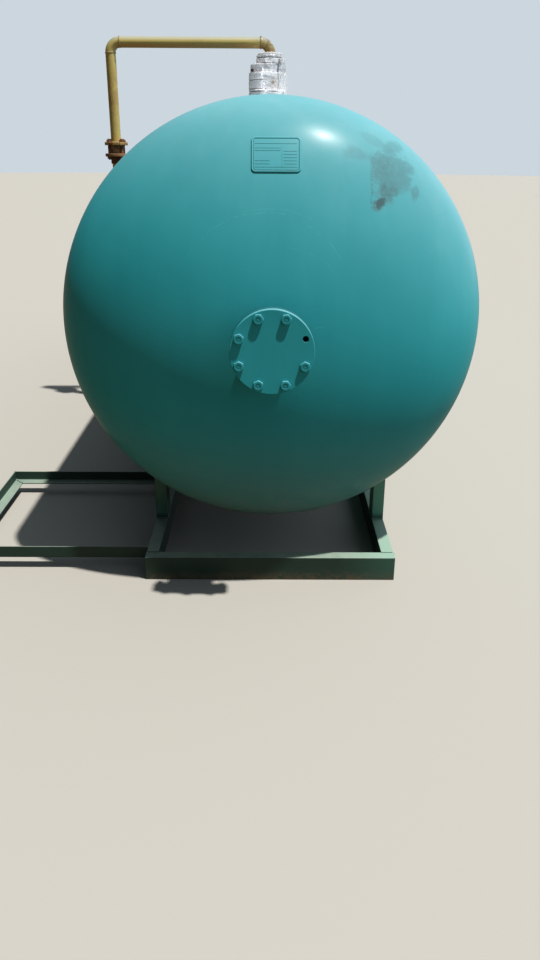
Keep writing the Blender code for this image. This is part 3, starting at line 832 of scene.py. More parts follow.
# The neck flange's darker enamel is painted shade behind the cover.
PAINTED_SHADE_ENAMEL = Enamel("grimy_enamel", linear(16, 92, 98), linear(12, 80, 86), linear(76, 96, 98), coat=0.01)
FRAME_PAINT = FramePaint("frame_paint")
PIPE_PAINT = PipePaint("line_paint")
WELD_PAINT = PipePaint("weld_paint", linear(150, 116, 62), linear(122, 112, 84), linear(104, 74, 46))
OLD_IRON = Rust("old_iron")
CAST_IRON = Rust("valve_iron", linear(118, 82, 54), linear(150, 110, 76), linear(174, 138, 100))
PAINTED_IRON = Rust("painted_iron", linear(110, 74, 48), linear(150, 102, 62), painted=0.55)
DARK_IRON = Rust("dark_iron", linear(34, 30, 28), linear(46, 40, 37), linear(62, 55, 50), painted=-0.6)
FILM = StretchFilm("stretch_film")
CLEAR_FILM = StretchFilm(
    "clear_film",
    linear(236, 238, 242),
    linear(248, 248, 250),
    clearest=0.14,
    densest=0.55,
    depth=0.002,
    streaked=0.55,
)
FIBRE = JointSheet("joint_sheet")
FLOOR_PAINT = FloorPaint("studio_floor")


# Geometry Nodes


class Recipe:
    """A Geometry Nodes tree with named inputs that reads one mesh and gives one mesh."""

    def __init__(self, name: str, inputs: dict[str, str]) -> None:
        """Make an empty tree.

        Args:
            name: the tree's name.
            inputs: the type of each named input.
        """
        self.tree = bpy.data.node_groups.new(name, "GeometryNodeTree")
        self.graph = Graph(self.tree)
        sockets = self.tree.interface
        sockets.new_socket("Geometry", in_out="INPUT", socket_type="NodeSocketGeometry")
        for label, kind in inputs.items():
            sockets.new_socket(label, in_out="INPUT", socket_type=kind)
        sockets.new_socket("Geometry", in_out="OUTPUT", socket_type="NodeSocketGeometry")
        self.start = self.tree.nodes.new("NodeGroupInput")
        self.result = self.tree.nodes.new("NodeGroupOutput")

    def value(self, label: str) -> Wire:
        """Return one of the named inputs."""
        return Wire(self.graph, self.start.outputs[label])

    def finish(self, geometry: Wire) -> None:
        """Realize the instances, set the finish's material and end the tree.

        Args:
            geometry: what the tree has made.
        """
        real = self.graph.add("GeometryNodeRealizeInstances", None, {"Geometry": geometry})
        sockets = {"Geometry": real, "Material": self.value("Finish")}
        coated = self.graph.add("GeometryNodeSetMaterial", None, sockets)
        self.graph.feed(self.result.inputs["Geometry"], coated)

    def run(self, thing: Thing, **values: Any) -> Thing:
        """Run the tree on an object and keep the result as its plain mesh.

        Args:
            thing: the object whose mesh the tree reads.
            values: the named inputs' values, with _ for a blank in a name.

        Returns:
            The same object, with its modifier gone.
        """
        modifier = thing.modifiers.new(self.tree.name, "NODES")
        modifier.node_group = self.tree
        for item in self.tree.interface.items_tree:
            label = item.name.replace(" ", "_")
            if item.in_out == "INPUT" and label in values:
                modifier[item.identifier] = values[label]
        return settle(thing)


def settle(thing: Thing) -> Thing:
    """Keep an object's evaluated shape as its plain mesh and remove its modifiers.

    Args:
        thing: the object.

    Returns:
        The same object.
    """
    depsgraph = bpy.context.evaluated_depsgraph_get()
    depsgraph.update()
    mesh = bpy.data.meshes.new_from_object(thing.evaluated_get(depsgraph), depsgraph=depsgraph)
    thing.modifiers.clear()
    thing.data = mesh
    mesh.name = thing.name
    return thing


def weld_recipe() -> Recipe:
    """Build the tree that draws a rippled weld bead along edges.

    Returns:
        The tree.
    """
    sizes = dict.fromkeys(("Bead Radius", "Pitch", "Relief", "Wander", "Seed"), "NodeSocketFloat")
    recipe = Recipe("weld_bead", {**sizes, "Finish": "NodeSocketMaterial"})
    graph = recipe.graph
    pitch = recipe.value("Pitch")
    path = graph.add("GeometryNodeMeshToCurve", None, {"Mesh": recipe.value("Geometry")})
    sockets = {"Curve": path, "Length": pitch / 4}
    path = graph.add("GeometryNodeResampleCurve", {"mode": "LENGTH"}, sockets)
    where = graph.add("GeometryNodeInputPosition")
    sockets = {"Vector": where, "W": recipe.value("Seed"), "Scale": 45.0, "Detail": 2.0}
    colour = graph.add("ShaderNodeTexNoise", {"noise_dimensions": "4D"}, sockets, output="Color")
    centred = graph.add("ShaderNodeVectorMath", {"operation": "SUBTRACT"}, {0: colour, 1: (0.5, 0.5, 0.5)})
    sockets = {0: centred, "Scale": recipe.value("Wander")}
    drift = graph.add("ShaderNodeVectorMath", {"operation": "SCALE"}, sockets)
    path = graph.add("GeometryNodeSetPosition", None, {"Geometry": path, "Offset": drift})
    length = graph.add("GeometryNodeSplineParameter", output="Length")
    wave = graph.maths("SINE", length / pitch * (2 * math.pi))
    uneven = graph.add("ShaderNodeSeparateXYZ", None, {0: centred})
    size = 1 + wave * recipe.value("Relief") + uneven * 0.5
    sockets = {"Resolution": 8, "Radius": recipe.value("Bead Radius")}
    ring = graph.add("GeometryNodeCurvePrimitiveCircle", None, sockets)
    sockets = {"Curve": path, "Profile Curve": ring, "Scale": size, "Fill Caps": True}
    bead = graph.add("GeometryNodeCurveToMesh", None, sockets)
    recipe.finish(graph.add("GeometryNodeSetShadeSmooth", None, {"Geometry": bead}))
    return recipe


def pipe_recipe() -> Recipe:
    """Build the tree that draws a capped round pipe along edges.

    Returns:
        The tree.
    """
    inputs = {"Pipe Radius": "NodeSocketFloat", "Sides": "NodeSocketInt", "Finish": "NodeSocketMaterial"}
    recipe = Recipe("pipe_run", inputs)
    graph = recipe.graph
    path = graph.add("GeometryNodeMeshToCurve", None, {"Mesh": recipe.value("Geometry")})
    sockets = {"Resolution": recipe.value("Sides"), "Radius": recipe.value("Pipe Radius")}
    ring = graph.add("GeometryNodeCurvePrimitiveCircle", None, sockets)
    sockets = {"Curve": path, "Profile Curve": ring, "Fill Caps": True}
    recipe.finish(graph.add("GeometryNodeCurveToMesh", None, sockets))
    return recipe


def fastener_recipe() -> Recipe:
    """Build the tree that stands a copy of one fastener on each point, along the point's facing.

    Returns:
        The tree.
    """
    inputs = {
        "Template": "NodeSocketObject",
        "Seed": "NodeSocketInt",
        "Lean": "NodeSocketFloat",
        "Finish": "NodeSocketMaterial",
    }
    recipe = Recipe("fasteners", inputs)
    graph = recipe.graph
    seed = recipe.value("Seed")
    lean = recipe.value("Lean")
    real = {"data_type": "FLOAT"}
    local = {"rotation_space": "LOCAL"}
    sockets = {"Object": recipe.value("Template"), "As Instance": True}
    copy = graph.add("GeometryNodeObjectInfo", None, sockets, output="Geometry")
    facing = graph.add("GeometryNodeInputNamedAttribute", {"data_type": "FLOAT_VECTOR"}, {"Name": "facing"})
    upright = graph.add("FunctionNodeAlignRotationToVector", {"axis": "Z"}, {"Vector": facing})
    turn = graph.add("FunctionNodeRandomValue", real, {2: 0.0, 3: 2 * math.pi, "Seed": seed}, output=1)
    spin = graph.add("FunctionNodeAxisAngleToRotation", None, {"Axis": (0, 0, 1), "Angle": turn})
    turned = graph.add("FunctionNodeRotateRotation", local, {"Rotation": upright, "Rotate By": spin})
    angle = graph.add("FunctionNodeRandomValue", real, {2: lean * -1, 3: lean, "Seed": seed + 1}, output=1)
    tip = graph.add("FunctionNodeAxisAngleToRotation", None, {"Axis": (1, 0, 0), "Angle": angle})
    leaning = graph.add("FunctionNodeRotateRotation", local, {"Rotation": turned, "Rotate By": tip})
    sockets = {"Points": recipe.value("Geometry"), "Instance": copy, "Rotation": leaning}
    recipe.finish(graph.add("GeometryNodeInstanceOnPoints", None, sockets))
    return recipe


WELD = weld_recipe()
PIPE = pipe_recipe()
FASTENERS = fastener_recipe()


# Mesh tools


def spread(first: float, last: float, steps: int) -> list[float]:
    """Return values evenly from a first to a last, both included."""
    return [first + (last - first) * step / steps for step in range(steps + 1)]


def between(first: Point, last: Point, steps: int) -> Profile:
    """Return flat points evenly from a first to a last, both included."""
    return list(zip(*(spread(*ends, steps) for ends in zip(first, last))))


def facing(origin: Point, axis: Point) -> Matrix:
    """Return the matrix that lays a body's Z along an axis from an origin."""
    turn = Vector(axis).normalized().to_track_quat("Z", "Y").to_matrix().to_4x4()
    return Matrix.Translation(Vector(origin)) @ turn


def axes(origin: Point, along_u: Point, along_v: Point, along_w: Point) -> Matrix:
    """Return the matrix that carries local u, v and w to three directions from an origin."""
    turn = Matrix((along_u, along_v, along_w)).transposed().to_4x4()
    return Matrix.Translation(Vector(origin)) @ turn


def circle(radius: float, count: int, height: float = 0.0, start: float = 0.0) -> list[Vector]:
    """Return points evenly round a circle about Z, from an angle in degrees."""
    angles = (math.radians(start) + 2 * math.pi * step / count for step in range(count))
    return [Vector((radius * math.cos(angle), radius * math.sin(angle), height)) for angle in angles]


def arc(centre: Point, radius: float, start: float, end: float, steps: int) -> Profile:
    """Return points on a flat arc, with its angles in degrees."""
    angles = [math.radians(angle) for angle in spread(start, end, steps)]
    return [(centre[0] + radius * math.cos(angle), centre[1] + radius * math.sin(angle)) for angle in angles]


def rod(radius: float, low: float, high: float) -> Profile:
    """Return the profile of a plain round bar."""
    return [(0, low), (radius, low), (radius, high), (0, high)]


def tube(radius: float, wall: float, low: float, high: float) -> Profile:
    """Return the profile of a plain pipe."""
    return [(radius - wall, low), (radius, low), (radius, high), (radius - wall, high)]


def disc(radius: float, low: float, high: float, edge: float, bore: float = 0.0) -> Profile:
    """Lay out the profile of a disc or ring whose outer rims are rounded.

    Args:
        radius: its outer radius.
        low: the height of its lower face.
        high: the height of its upper face.
        edge: the radius of its rims.
        bore: the radius of its hole.

    Returns:
        The profile.
    """
    lower = arc((radius - edge, low + edge), edge, 270, 360, 3)
    upper = arc((radius - edge, high - edge), edge, 0, 90, 3)
    return [(bore, low), *lower, *upper, (bore, high)]


def bridge(bm: Draft, rings: Sequence[Ring], looped: bool = False) -> None:
    """Skin a run of rings, and close it.

    Args:
        bm: what the faces are added to.
        rings: the rings, each with as many points.
        looped: whether the last ring meets the first, or a face closes each end.
    """
    following = [*rings[1:], *rings[:1]] if looped else rings[1:]
    for lower, upper in zip(rings, following):
        for step in range(len(lower)):
            ahead = (step + 1) % len(lower)
            corners = dict.fromkeys((lower[step], lower[ahead], upper[ahead], upper[step]))
            if len(corners) > 2:
                bm.faces.new(tuple(corners))
    if not looped:
        bm.faces.new(rings[-1])
        bm.faces.new(rings[0][::-1])


def lathe(bm: Draft, profile: Profile, sides: int, place: Matrix) -> None:
    """Add a body turned about its own Z.

    Args:
        bm: what it is added to.
        profile: its closed profile of (radius, height) points.
        sides: how many sides it has.
        place: where it stands.
    """
    rings = []
    for radius, height in profile:
        if radius < POLE:
            rings.append([bm.verts.new(place @ Vector((0, 0, height)))] * sides)
        else:
            rings.append([bm.verts.new(place @ point) for point in circle(radius, sides, height)])
    bridge(bm, rings, looped=True)


def linked(name: str, data: Any) -> Thing:
    """Put some data into the scene.

    Args:
        name: the new object's name.
        data: its mesh, lamp or lens.

    Returns:
        The object.
    """
    thing = bpy.data.objects.new(name, data)
    bpy.context.scene.collection.objects.link(thing)
    return thing


def drawn(name: str, bm: Draft) -> Thing:
    """Put a draft mesh into the scene.

    Args:
        name: the new object's name.
        bm: the draft, which is freed.

    Returns:
        The object.
    """
    mesh = bpy.data.meshes.new(name)
    bm.to_mesh(mesh)
    bm.free()
    return linked(name, mesh)


def smoothed(thing: Thing, angle: float = SMOOTH_ANGLE) -> Thing:
    """Shade an object smooth between its sharp edges.

    Args:
        thing: the object.
        angle: the angle from which an edge is sharp.

    Returns:
        The same object.
    """
    thing.data.shade_smooth()
    thing.data.set_sharp_from_angle(angle=angle)
    return thing


def solid(name: str, bm: Draft, finish: Finish, angle: float = SMOOTH_ANGLE) -> Thing:
    """Turn a draft mesh into an object in one finish, with outward faces.

    Args:
        name: the object's name.
        bm: the draft.
        finish: its finish.
        angle: the angle from which an edge is sharp.

    Returns:
        The object.
    """
    bmesh.ops.recalc_face_normals(bm, faces=bm.faces)
    thing = smoothed(drawn(name, bm), angle)
    thing.data.materials.append(finish.material())
    return thing


def turned(name: str, profile: Profile, sides: int, place: Matrix, finish: Finish) -> Thing:
    """Make one turned body.

    Args:
        name: the object's name.
        profile: its closed profile of (radius, height) points.
        sides: how many sides it has.
        place: where it stands.
        finish: its finish.

    Returns:
        The object.
    """
    bm = bmesh.new()
    lathe(bm, profile, sides, place)
    return solid(name, bm, finish)


def cut(thing: Thing, bm: Draft, finish: Finish) -> Thing:
    """Cut a body out of an object and keep the result as its plain mesh.

    Args:
        thing: the object.
        bm: the body.
        finish: what the cut faces are finished in.

    Returns:
        The same object.
    """
    tool = solid(f"{thing.name}_tool", bm, finish)
    change = thing.modifiers.new("cut", "BOOLEAN")
    change.operation = "DIFFERENCE"
    change.solver = "EXACT"
    change.object = tool
    settle(thing)
    bpy.data.objects.remove(tool, do_unlink=True)
    return smoothed(thing)


def drilled(thing: Thing, holes: Iterable[Vector], size: float, place: Matrix, finish: Finish) -> Thing:
    """Drill round holes along a place's Z.

    Args:
        thing: the object.
        holes: the holes' middles in the place.
        size: their diameter.
        place: the place, in the middle of the plate.
        finish: what the holes are finished in.

    Returns:
        The same object.
    """
    bm = bmesh.new()
    for hole in holes:
        lathe(bm, rod(size / 2, -DRILL_REACH, DRILL_REACH), HOLE_SIDES, place @ Matrix.Translation(hole))
    cut(thing, bm, finish)
    axis = (place.to_3x3() @ Z_AXIS).normalized()
    for polygon in thing.data.polygons:
        if abs(polygon.normal.dot(axis)) > LEVEL:
            polygon.use_smooth = False
    return thing


def path_object(name: str, runs: Iterable[Run]) -> Thing:
    """Make an object of bare edges.

    Args:
        name: the object's name.
        runs: the points of each run, and whether it is closed.

    Returns:
        The object.
    """
    bm = bmesh.new()
    for points, closed in runs:
        verts = [bm.verts.new(Vector(point)) for point in points]
        for pair in zip(verts, verts[1:] + verts[:1] if closed else verts[1:]):
            bm.edges.new(pair)
    return drawn(name, bm)


def ring_path(radius: float, place: Matrix, steps: int = 96) -> Run:
    """Return a closed round path about a place's Z."""
    return [place @ point for point in circle(radius, steps)], True


def line_path(*points: Point) -> Run:
    """Return an open path through points."""
    return [Vector(point) for point in points], False


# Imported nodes


def centre_of(node: str) -> Vector:
    """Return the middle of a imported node's box."""
    low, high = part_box(node)
    return (low + high) / 2


def size_of(node: str) -> Vector:
    """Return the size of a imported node's box."""
    low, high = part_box(node)
    return high - low


def fitted(node: str, along_u: Vector, along_v: Vector, centred: bool) -> tuple[Matrix, float, float]:
    """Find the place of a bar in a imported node's box.

    Args:
        node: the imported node.
        along_u: the direction that the section's u runs in.
        along_v: the direction that its v runs in.
        centred: whether v is counted from the middle of the box.

    Returns:
        The bar's matrix, and the heights of its two ends along it.
    """
    low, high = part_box(node)
    along_w = Vector([abs(part) for part in along_u.cross(along_v)])
    origin = Vector((0, 0, 0))
    for axis, share in ((along_u, 0.0), (along_v, 0.5 if centred else 0.0)):
        for row in range(3):
            if axis[row] > 0.5:
                origin[row] = low[row] + (high[row] - low[row]) * share
            elif axis[row] < -0.5:
                origin[row] = high[row] - (high[row] - low[row]) * share
    return axes(origin, along_u, along_v, along_w), low.dot(along_w), high.dot(along_w)


def deliver(piece: Thing, slot: Slot, *nodes: str) -> None:
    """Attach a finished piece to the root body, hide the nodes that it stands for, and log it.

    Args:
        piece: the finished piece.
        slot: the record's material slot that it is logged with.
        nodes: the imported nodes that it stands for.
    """
    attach(piece, BODY)
    if nodes:
        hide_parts(*nodes)
    faces = sum(len(polygon.vertices) - 2 for polygon in piece.data.polygons)
    stands_for = ", ".join(nodes) or "no node"
    LOG.info("%s: %d triangles, slot %s, for %s", piece.name, faces, slot.value, stands_for)


# Parts that repeat


@dataclass(frozen=True)
class Bead:
    """The size of a weld bead: its radius, the pitch of its ripples and how uneven it is."""

    radius: float
    pitch: float
    relief: float = 0.10
    wander: float = 0.0008


GIRTH_BEAD = Bead(0.0062, 0.0070)
FILLET_BEAD = Bead(0.0042, 0.0050, 0.12, 0.0014)
PIPE_BEAD = Bead(0.0040, 0.0050, 0.14, 0.0022)
THIN_BEAD = Bead(0.0012, 0.0040, 0.15, 0.0006)


def weld(name: str, runs: Iterable[Run], bead: Bead, finish: Finish, seed: float, slot: Slot) -> None:
    """Add the weld beads along some runs as one piece.

    Args:
        name: the piece's name.
        runs: the points of each run, and whether it is closed.
        bead: the beads' size.
        finish: their finish.
        seed: the seed of their wander.
        slot: the record's material slot.
    """
    piece = WELD.run(
        path_object(name, runs),
        Bead_Radius=bead.radius,
        Pitch=bead.pitch,
        Relief=bead.relief,
        Wander=bead.wander,
        Seed=seed,
        Finish=finish.material(),
    )
    deliver(piece, slot)


@dataclass(frozen=True)
class Fastener:
    """A nut or bolt head, on a washer where it has one, with the end of its thread standing out."""

    flats: float
    height: float
    thread: float
    out: float
    washer: float = 0.0
    washer_thickness: float = 0.0
    shank: float = 0.0

    def template(self) -> Thing:
        """Make one fastener, its seat at z = 0 and its top at +z.

        Returns:
            The fastener.
        """
        bm = bmesh.new()
        here = Matrix.Identity(4)
        thick = self.washer_thickness
        if self.washer:
            lathe(bm, disc(self.washer / 2, 0.0, thick, thick * 0.35), 28, here)
        self.hexagon(bm)
        tip = thick + self.height + self.out
        lathe(bm, disc(self.thread / 2, -self.shank, tip, self.thread * 0.09), 20, here)
        return solid("fastener_template", bm, OLD_IRON, math.radians(20))

    def hexagon(self, bm: Draft, samples: int = 48) -> None:
        """Add the hexagon, its upper corners cut away by a cone, hollow where the thread is sunk.

        Args:
            bm: what it is added to.
            samples: how many points go round it.
        """
        low = self.washer_thickness
        high = low + self.height
        flat = self.flats / 2
        crown = flat * 0.95
        bore = self.thread * 0.54
        sunk = high + self.out - 0.001
        rings: list[Ring] = [[] for _ in range(5 if self.out < 0 else 3)]
        for sample in range(samples):
            angle = 2 * math.pi * sample / samples
            aside = angle % (math.pi / 3) - math.pi / 6
            reach = flat / math.cos(aside)
            top = high - (reach - crown) * math.tan(CORNER_CONE)
            direction = Vector((math.cos(angle), math.sin(angle), 0))
            levels = ((reach, low), (reach, top), (crown, high), (bore, high), (bore, sunk))
            for ring, (across, level) in zip(rings, levels):
                ring.append(bm.verts.new(direction * across + Z_AXIS * level))
        bridge(bm, rings)

    def place(
        self, name: str, seats: Sequence[Seat], finish: Finish, seed: int, slot: Slot, lean: float = 0.0
    ) -> None:
        """Add a copy on each seat as one piece.

        Args:
            name: the piece's name.
            seats: the place and the direction of each copy.
            finish: what they are finished in.
            seed: the seed of their turns.
            slot: the record's material slot.
            lean: the largest angle by which one leans, in radians.
        """
        mesh = bpy.data.meshes.new(name)
        mesh.from_pydata([place for place, _ in seats], [], [])
        ways = mesh.attributes.new("facing", "FLOAT_VECTOR", "POINT")
        for item, (_, axis) in zip(ways.data, seats):
            item.vector = axis
        template = self.template()
        piece = linked(name, mesh)
        FASTENERS.run(piece, Template=template, Seed=seed, Lean=lean, Finish=finish.material())
        bpy.data.objects.remove(template, do_unlink=True)
        deliver(piece, slot)


@dataclass(frozen=True)
class Section:
    """A rolled section: its outline as (u, v, edge), where edge is 1 on an outer corner."""

    outline: Outline

    @classmethod
    def rounded(cls, *corners: tuple[float, float, float, float, float]) -> "Section":
        """Build a section from its corners.

        Args:
            corners: each corner's centre, radius, first angle in degrees, and edge, which is 0 in a fillet.

        Returns:
            The section.
        """
        points: Outline = []
        for u, v, radius, start, edge in corners:
            end, steps = (start + 90, 3) if edge else (start - 90, 5)
            points += [(*point, edge) for point in arc((u, v), radius, start, end, steps)]
        return cls(cls.divided(points))

    @classmethod
    def channel(cls, height: float, flange: float, web: float, thickness: float, fillet: float) -> "Section":
        """Build a channel with its web along u = 0 and its flanges reaching to +u.

        Args:
            height: its height along v.
            flange: its flanges' width.
            web: its web's thickness.
            thickness: its flanges' thickness.
            fillet: the radius of its inner corners.

        Returns:
            The section.
        """
        half = height / 2
        inside = half - thickness
        root = web + fillet
        toe = thickness / 3
        sharp = 0.0015
        return cls.rounded(
            (sharp, -half + sharp, sharp, 180, 1.0),
            (flange - sharp, -half + sharp, sharp, 270, 1.0),
            (flange - toe, -inside - toe, toe, 0, 0.9),
            (root, -inside + fillet, fillet, 270, 0.0),
            (root, inside - fillet, fillet, 180, 0.0),
            (flange - toe, inside + toe, toe, 270, 0.9),
            (flange - sharp, half - sharp, sharp, 0, 1.0),
            (sharp, half - sharp, sharp, 90, 1.0),
        )

    @classmethod
    def angle(cls, leg: float, thickness: float) -> "Section":
        """Build an angle with its corner at the origin and its legs on +u and +v.

        Args:
            leg: its legs' width.
            thickness: their thickness.

        Returns:
            The section.
        """
        toe = thickness / 2
        root = thickness * 2
        sharp = 0.0012
        return cls.rounded(
            (sharp, sharp, sharp, 180, 1.0),
            (leg - sharp, sharp, sharp, 270, 1.0),
            (leg - toe, thickness - toe, toe, 0, 0.9),
            (root, root, root - thickness, 270, 0.0),
            (thickness - toe, leg - toe, toe, 0, 0.9),
            (sharp, leg - sharp, sharp, 90, 1.0),
        )

    @staticmethod
    def divided(points: Outline, longest: float = 0.014) -> Outline:
        """Divide an outline's long sides, unworn a margin away from each corner.

        Args:
            points: the outline.
            longest: the longest side that stays whole.

        Returns:
            The outline with its new points.
        """
        full = []
        for (u, v, edge), (ahead_u, ahead_v, _) in zip(points, points[1:] + points[:1]):
            full.append((u, v, edge))
            length = math.hypot(ahead_u - u, ahead_v - v)
            if length <= 2.2 * WORN_MARGIN:
                continue
            inner = length - 2 * WORN_MARGIN
            for distance in spread(WORN_MARGIN, WORN_MARGIN + inner, math.ceil(inner / longest)):
                share = distance / length
                full.append((u + (ahead_u - u) * share, v + (ahead_v - v) * share, 0.0))
        return full

    def bar(self, name: str, place: Matrix, low: End, high: End) -> Thing:
        """Make a bar of this section.

        Args:
            name: the object's name.
            place: the matrix that carries u, v and the length to the frame.
            low: the lower end's height at each u.
            high: the upper end's height at each u.

        Returns:
            The bar, with its wear as the attribute named edge.
        """
        bm = bmesh.new()
        wear = bm.verts.layers.float.new("edge")
        rings = []
        stations = ((low, 0.0, 1.0), (low, WORN_MARGIN, 0.0), (high, -WORN_MARGIN, 0.0), (high, 0.0, 1.0))
        for end, offset, worn in stations:
            ring = []
            for u, v, edge in self.outline:
                vert = bm.verts.new(place @ Vector((u, v, end(u) + offset)))
                vert[wear] = max(edge, worn)
                ring.append(vert)
            rings.append(ring)
        bridge(bm, rings)
        return solid(name, bm, FRAME_PAINT)

    def fill(
        self,
        name: str,
        node: str,
        along_u: Vector,
        along_v: Vector = Z_AXIS,
        centred: bool = False,
        mitres: tuple[float, float] = (0.0, 0.0),
        top: Optional[End] = None,
    ) -> None:
        """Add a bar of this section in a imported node's place.

        Args:
            name: the piece's name.
            node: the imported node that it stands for.
            along_u: the direction that u runs in.
            along_v: the direction that v runs in.
            centred: whether v is counted from the middle of the node's box.
            mitres: how far each end is cut back for each metre of u.
            top: the upper end's height at each u, where it isn't a mitre.
        """
        place, low, high = fitted(node, along_u, along_v, centred)
        upper = top or (lambda u: high - u * mitres[1])
        deliver(self.bar(name, place, lambda u: low + u * mitres[0], upper), Slot.SKID, node)


# Sub-assemblies


@dataclass
class Vessel:
    """The pressure vessel: three rolled courses, two dished heads and the welds between them."""

    skirt: float = 0.040
    wall: float = 0.012
    unevenness: float = 0.0016
    bead_sunk: float = 0.0042
    sides: int = 240
    head_rings: int = 60
    course_steps: int = 16
    cutter_sides: int = 40
    cutter_reach: float = 0.1
    seam_turns: tuple[float, float, float] = (52.0, 128.0, 35.0)

    def __post_init__(self) -> None:
        """Read the vessel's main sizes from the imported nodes."""
        low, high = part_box("rear_head")
        self.radius = high.x
        self.axis_height = (low.z + high.z) / 2
        self.shell_end = low.y
        self.head_base = low.y + self.skirt
        self.depth = high.y - self.head_base

    def head_y(self, right: float, above: float) -> float:
        """Return the front head's y at a place right of and above the axis."""
        share = (right**2 + above**2) / self.radius**2
        return -self.head_base - self.depth * math.sqrt(max(0.0, 1 - share))

    def head_normal(self, right: float, above: float) -> Vector:
        """Return the front head's outward direction at a place right of and above the axis."""
        along = self.head_y(right, above) + self.head_base
        return Vector((right / self.radius**2, along / self.depth**2, above / self.radius**2)).normalized()

    def dent(self, point: Vector, seed: float) -> float:
        """Work out how far the plate lies inside its true shape.

        Args:
            point: the place on it.
            seed: what shifts its slow and quick waves.

        Returns:
            The depth.
        """
        slow = noise.noise(Vector((point.x * 1.8, point.y * 1.8 + seed, point.z * 1.8)))
        quick = noise.noise(Vector((point.x * 6.0 + seed, point.y * 6.0, point.z * 6.0)))
        return self.unevenness * (0.5 + 0.38 * slow + 0.12 * quick)

    def press(self, thing: Thing, seed: float) -> None:
        """Move an object's skin in by the plate's unevenness.

        Args:
            thing: the object.
            seed: what shifts the unevenness.
        """
        squash = (self.radius / self.depth) ** 2
        for vert in thing.data.vertices:
            point = vert.co
            offset = Vector((point.x, 0, point.z - self.axis_height))
            if abs(point.y) > self.head_base:
                offset.y = (point.y - math.copysign(self.head_base, point.y)) * squash
            if offset.length > POLE:
                vert.co = point - offset.normalized() * self.dent(point, seed)

    def head(self, name: str, sign: float, hole: float, finish: Finish, node: str) -> None:
        """Add one dished head.

        Args:
            name: the piece's name.
            sign: the side of y that it points to.
            hole: the radius of the hole in its middle.
            finish: its finish.
            node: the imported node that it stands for.
        """
        inner = self.radius - self.wall
        first = math.acos(hole / self.radius)
        profile = [(self.radius, 0.0)]
        for angle in spread(0, first, self.head_rings):
            profile.append((self.radius * math.cos(angle), self.skirt + self.depth * math.sin(angle)))
        for angle in reversed(spread(0, first, self.head_rings // 4)):
            profile.append((inner * math.cos(angle), self.skirt + (self.depth - self.wall) * math.sin(angle)))
        profile.append((inner, 0.0))
        place = facing((0, sign * self.shell_end, self.axis_height), (0, sign, 0))
        head = turned(name, profile, self.sides, place, finish)
        self.press(head, 3.0 + sign)
        deliver(head, Slot.TANK, node)

    def course(self, name: str, node: str, nozzle: float) -> None:
        """Add one rolled course.

        Args:
            name: the piece's name.
            node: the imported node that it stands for.
            nozzle: the radius of the hole for the top nozzle, or 0.
        """
        low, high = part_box(node)
        inner = self.radius - self.wall
        profile = [(self.radius, y) for y in spread(low.y, high.y, self.course_steps)]
        place = facing((0, 0, self.axis_height), Y_AXIS)
        course = turned(name, profile + [(inner, high.y), (inner, low.y)], self.sides, place, ENAMEL)
        self.press(course, 7.0)
        if nozzle:
            bm = bmesh.new()
            top = self.axis_height + self.radius
            cutter = rod(nozzle, top - self.cutter_reach, top + self.cutter_reach)
            lathe(bm, cutter, self.cutter_sides, Matrix.Identity(4))
            cut(course, bm, ENAMEL)
        deliver(course, Slot.TANK, node)

    def seams(self) -> None:
        """Add the girth welds and each course's long weld, staggered round the shell."""
        sunk = self.radius - self.bead_sunk
        nodes = ["tank_shell_front", "tank_shell_middle", "tank_shell_rear"]
        ends = sorted({round(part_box(node)[side].y, 3) for node in nodes for side in (0, 1)})
        joints = [ends[0]]
        for end in ends[1:]:
            if end - joints[-1] > self.wall:
                joints.append(end)
        for index, joint in enumerate(joints):
            ring = ring_path(sunk, facing((0, joint, self.axis_height), Y_AXIS), self.sides)
            weld(f"girth_weld_{index + 1}", [ring], GIRTH_BEAD, ENAMEL, index, Slot.TANK)
        runs = []
        for turn, start, end in zip(self.seam_turns, joints, joints[1:]):
            x = sunk * math.cos(math.radians(turn))
            z = self.axis_height + sunk * math.sin(math.radians(turn))
            runs.append(line_path((x, start, z), (x, end, z)))
        weld("long_welds", runs, GIRTH_BEAD, ENAMEL, 11.0, Slot.TANK)

    def build(self) -> None:
        """Build the whole vessel."""
        self.head("front_head_plate", -1, size_of("cover_neck").x / 2, HEAD_ENAMEL, "front_head")
        self.head("rear_head_plate", 1, 0.0, ENAMEL, "rear_head")
        self.course("course_front", "tank_shell_front", 0.0)
        self.course("course_middle", "tank_shell_middle", size_of("top_nozzle_neck").x / 2)
        self.course("course_rear", "tank_shell_rear", 0.0)
        self.seams()


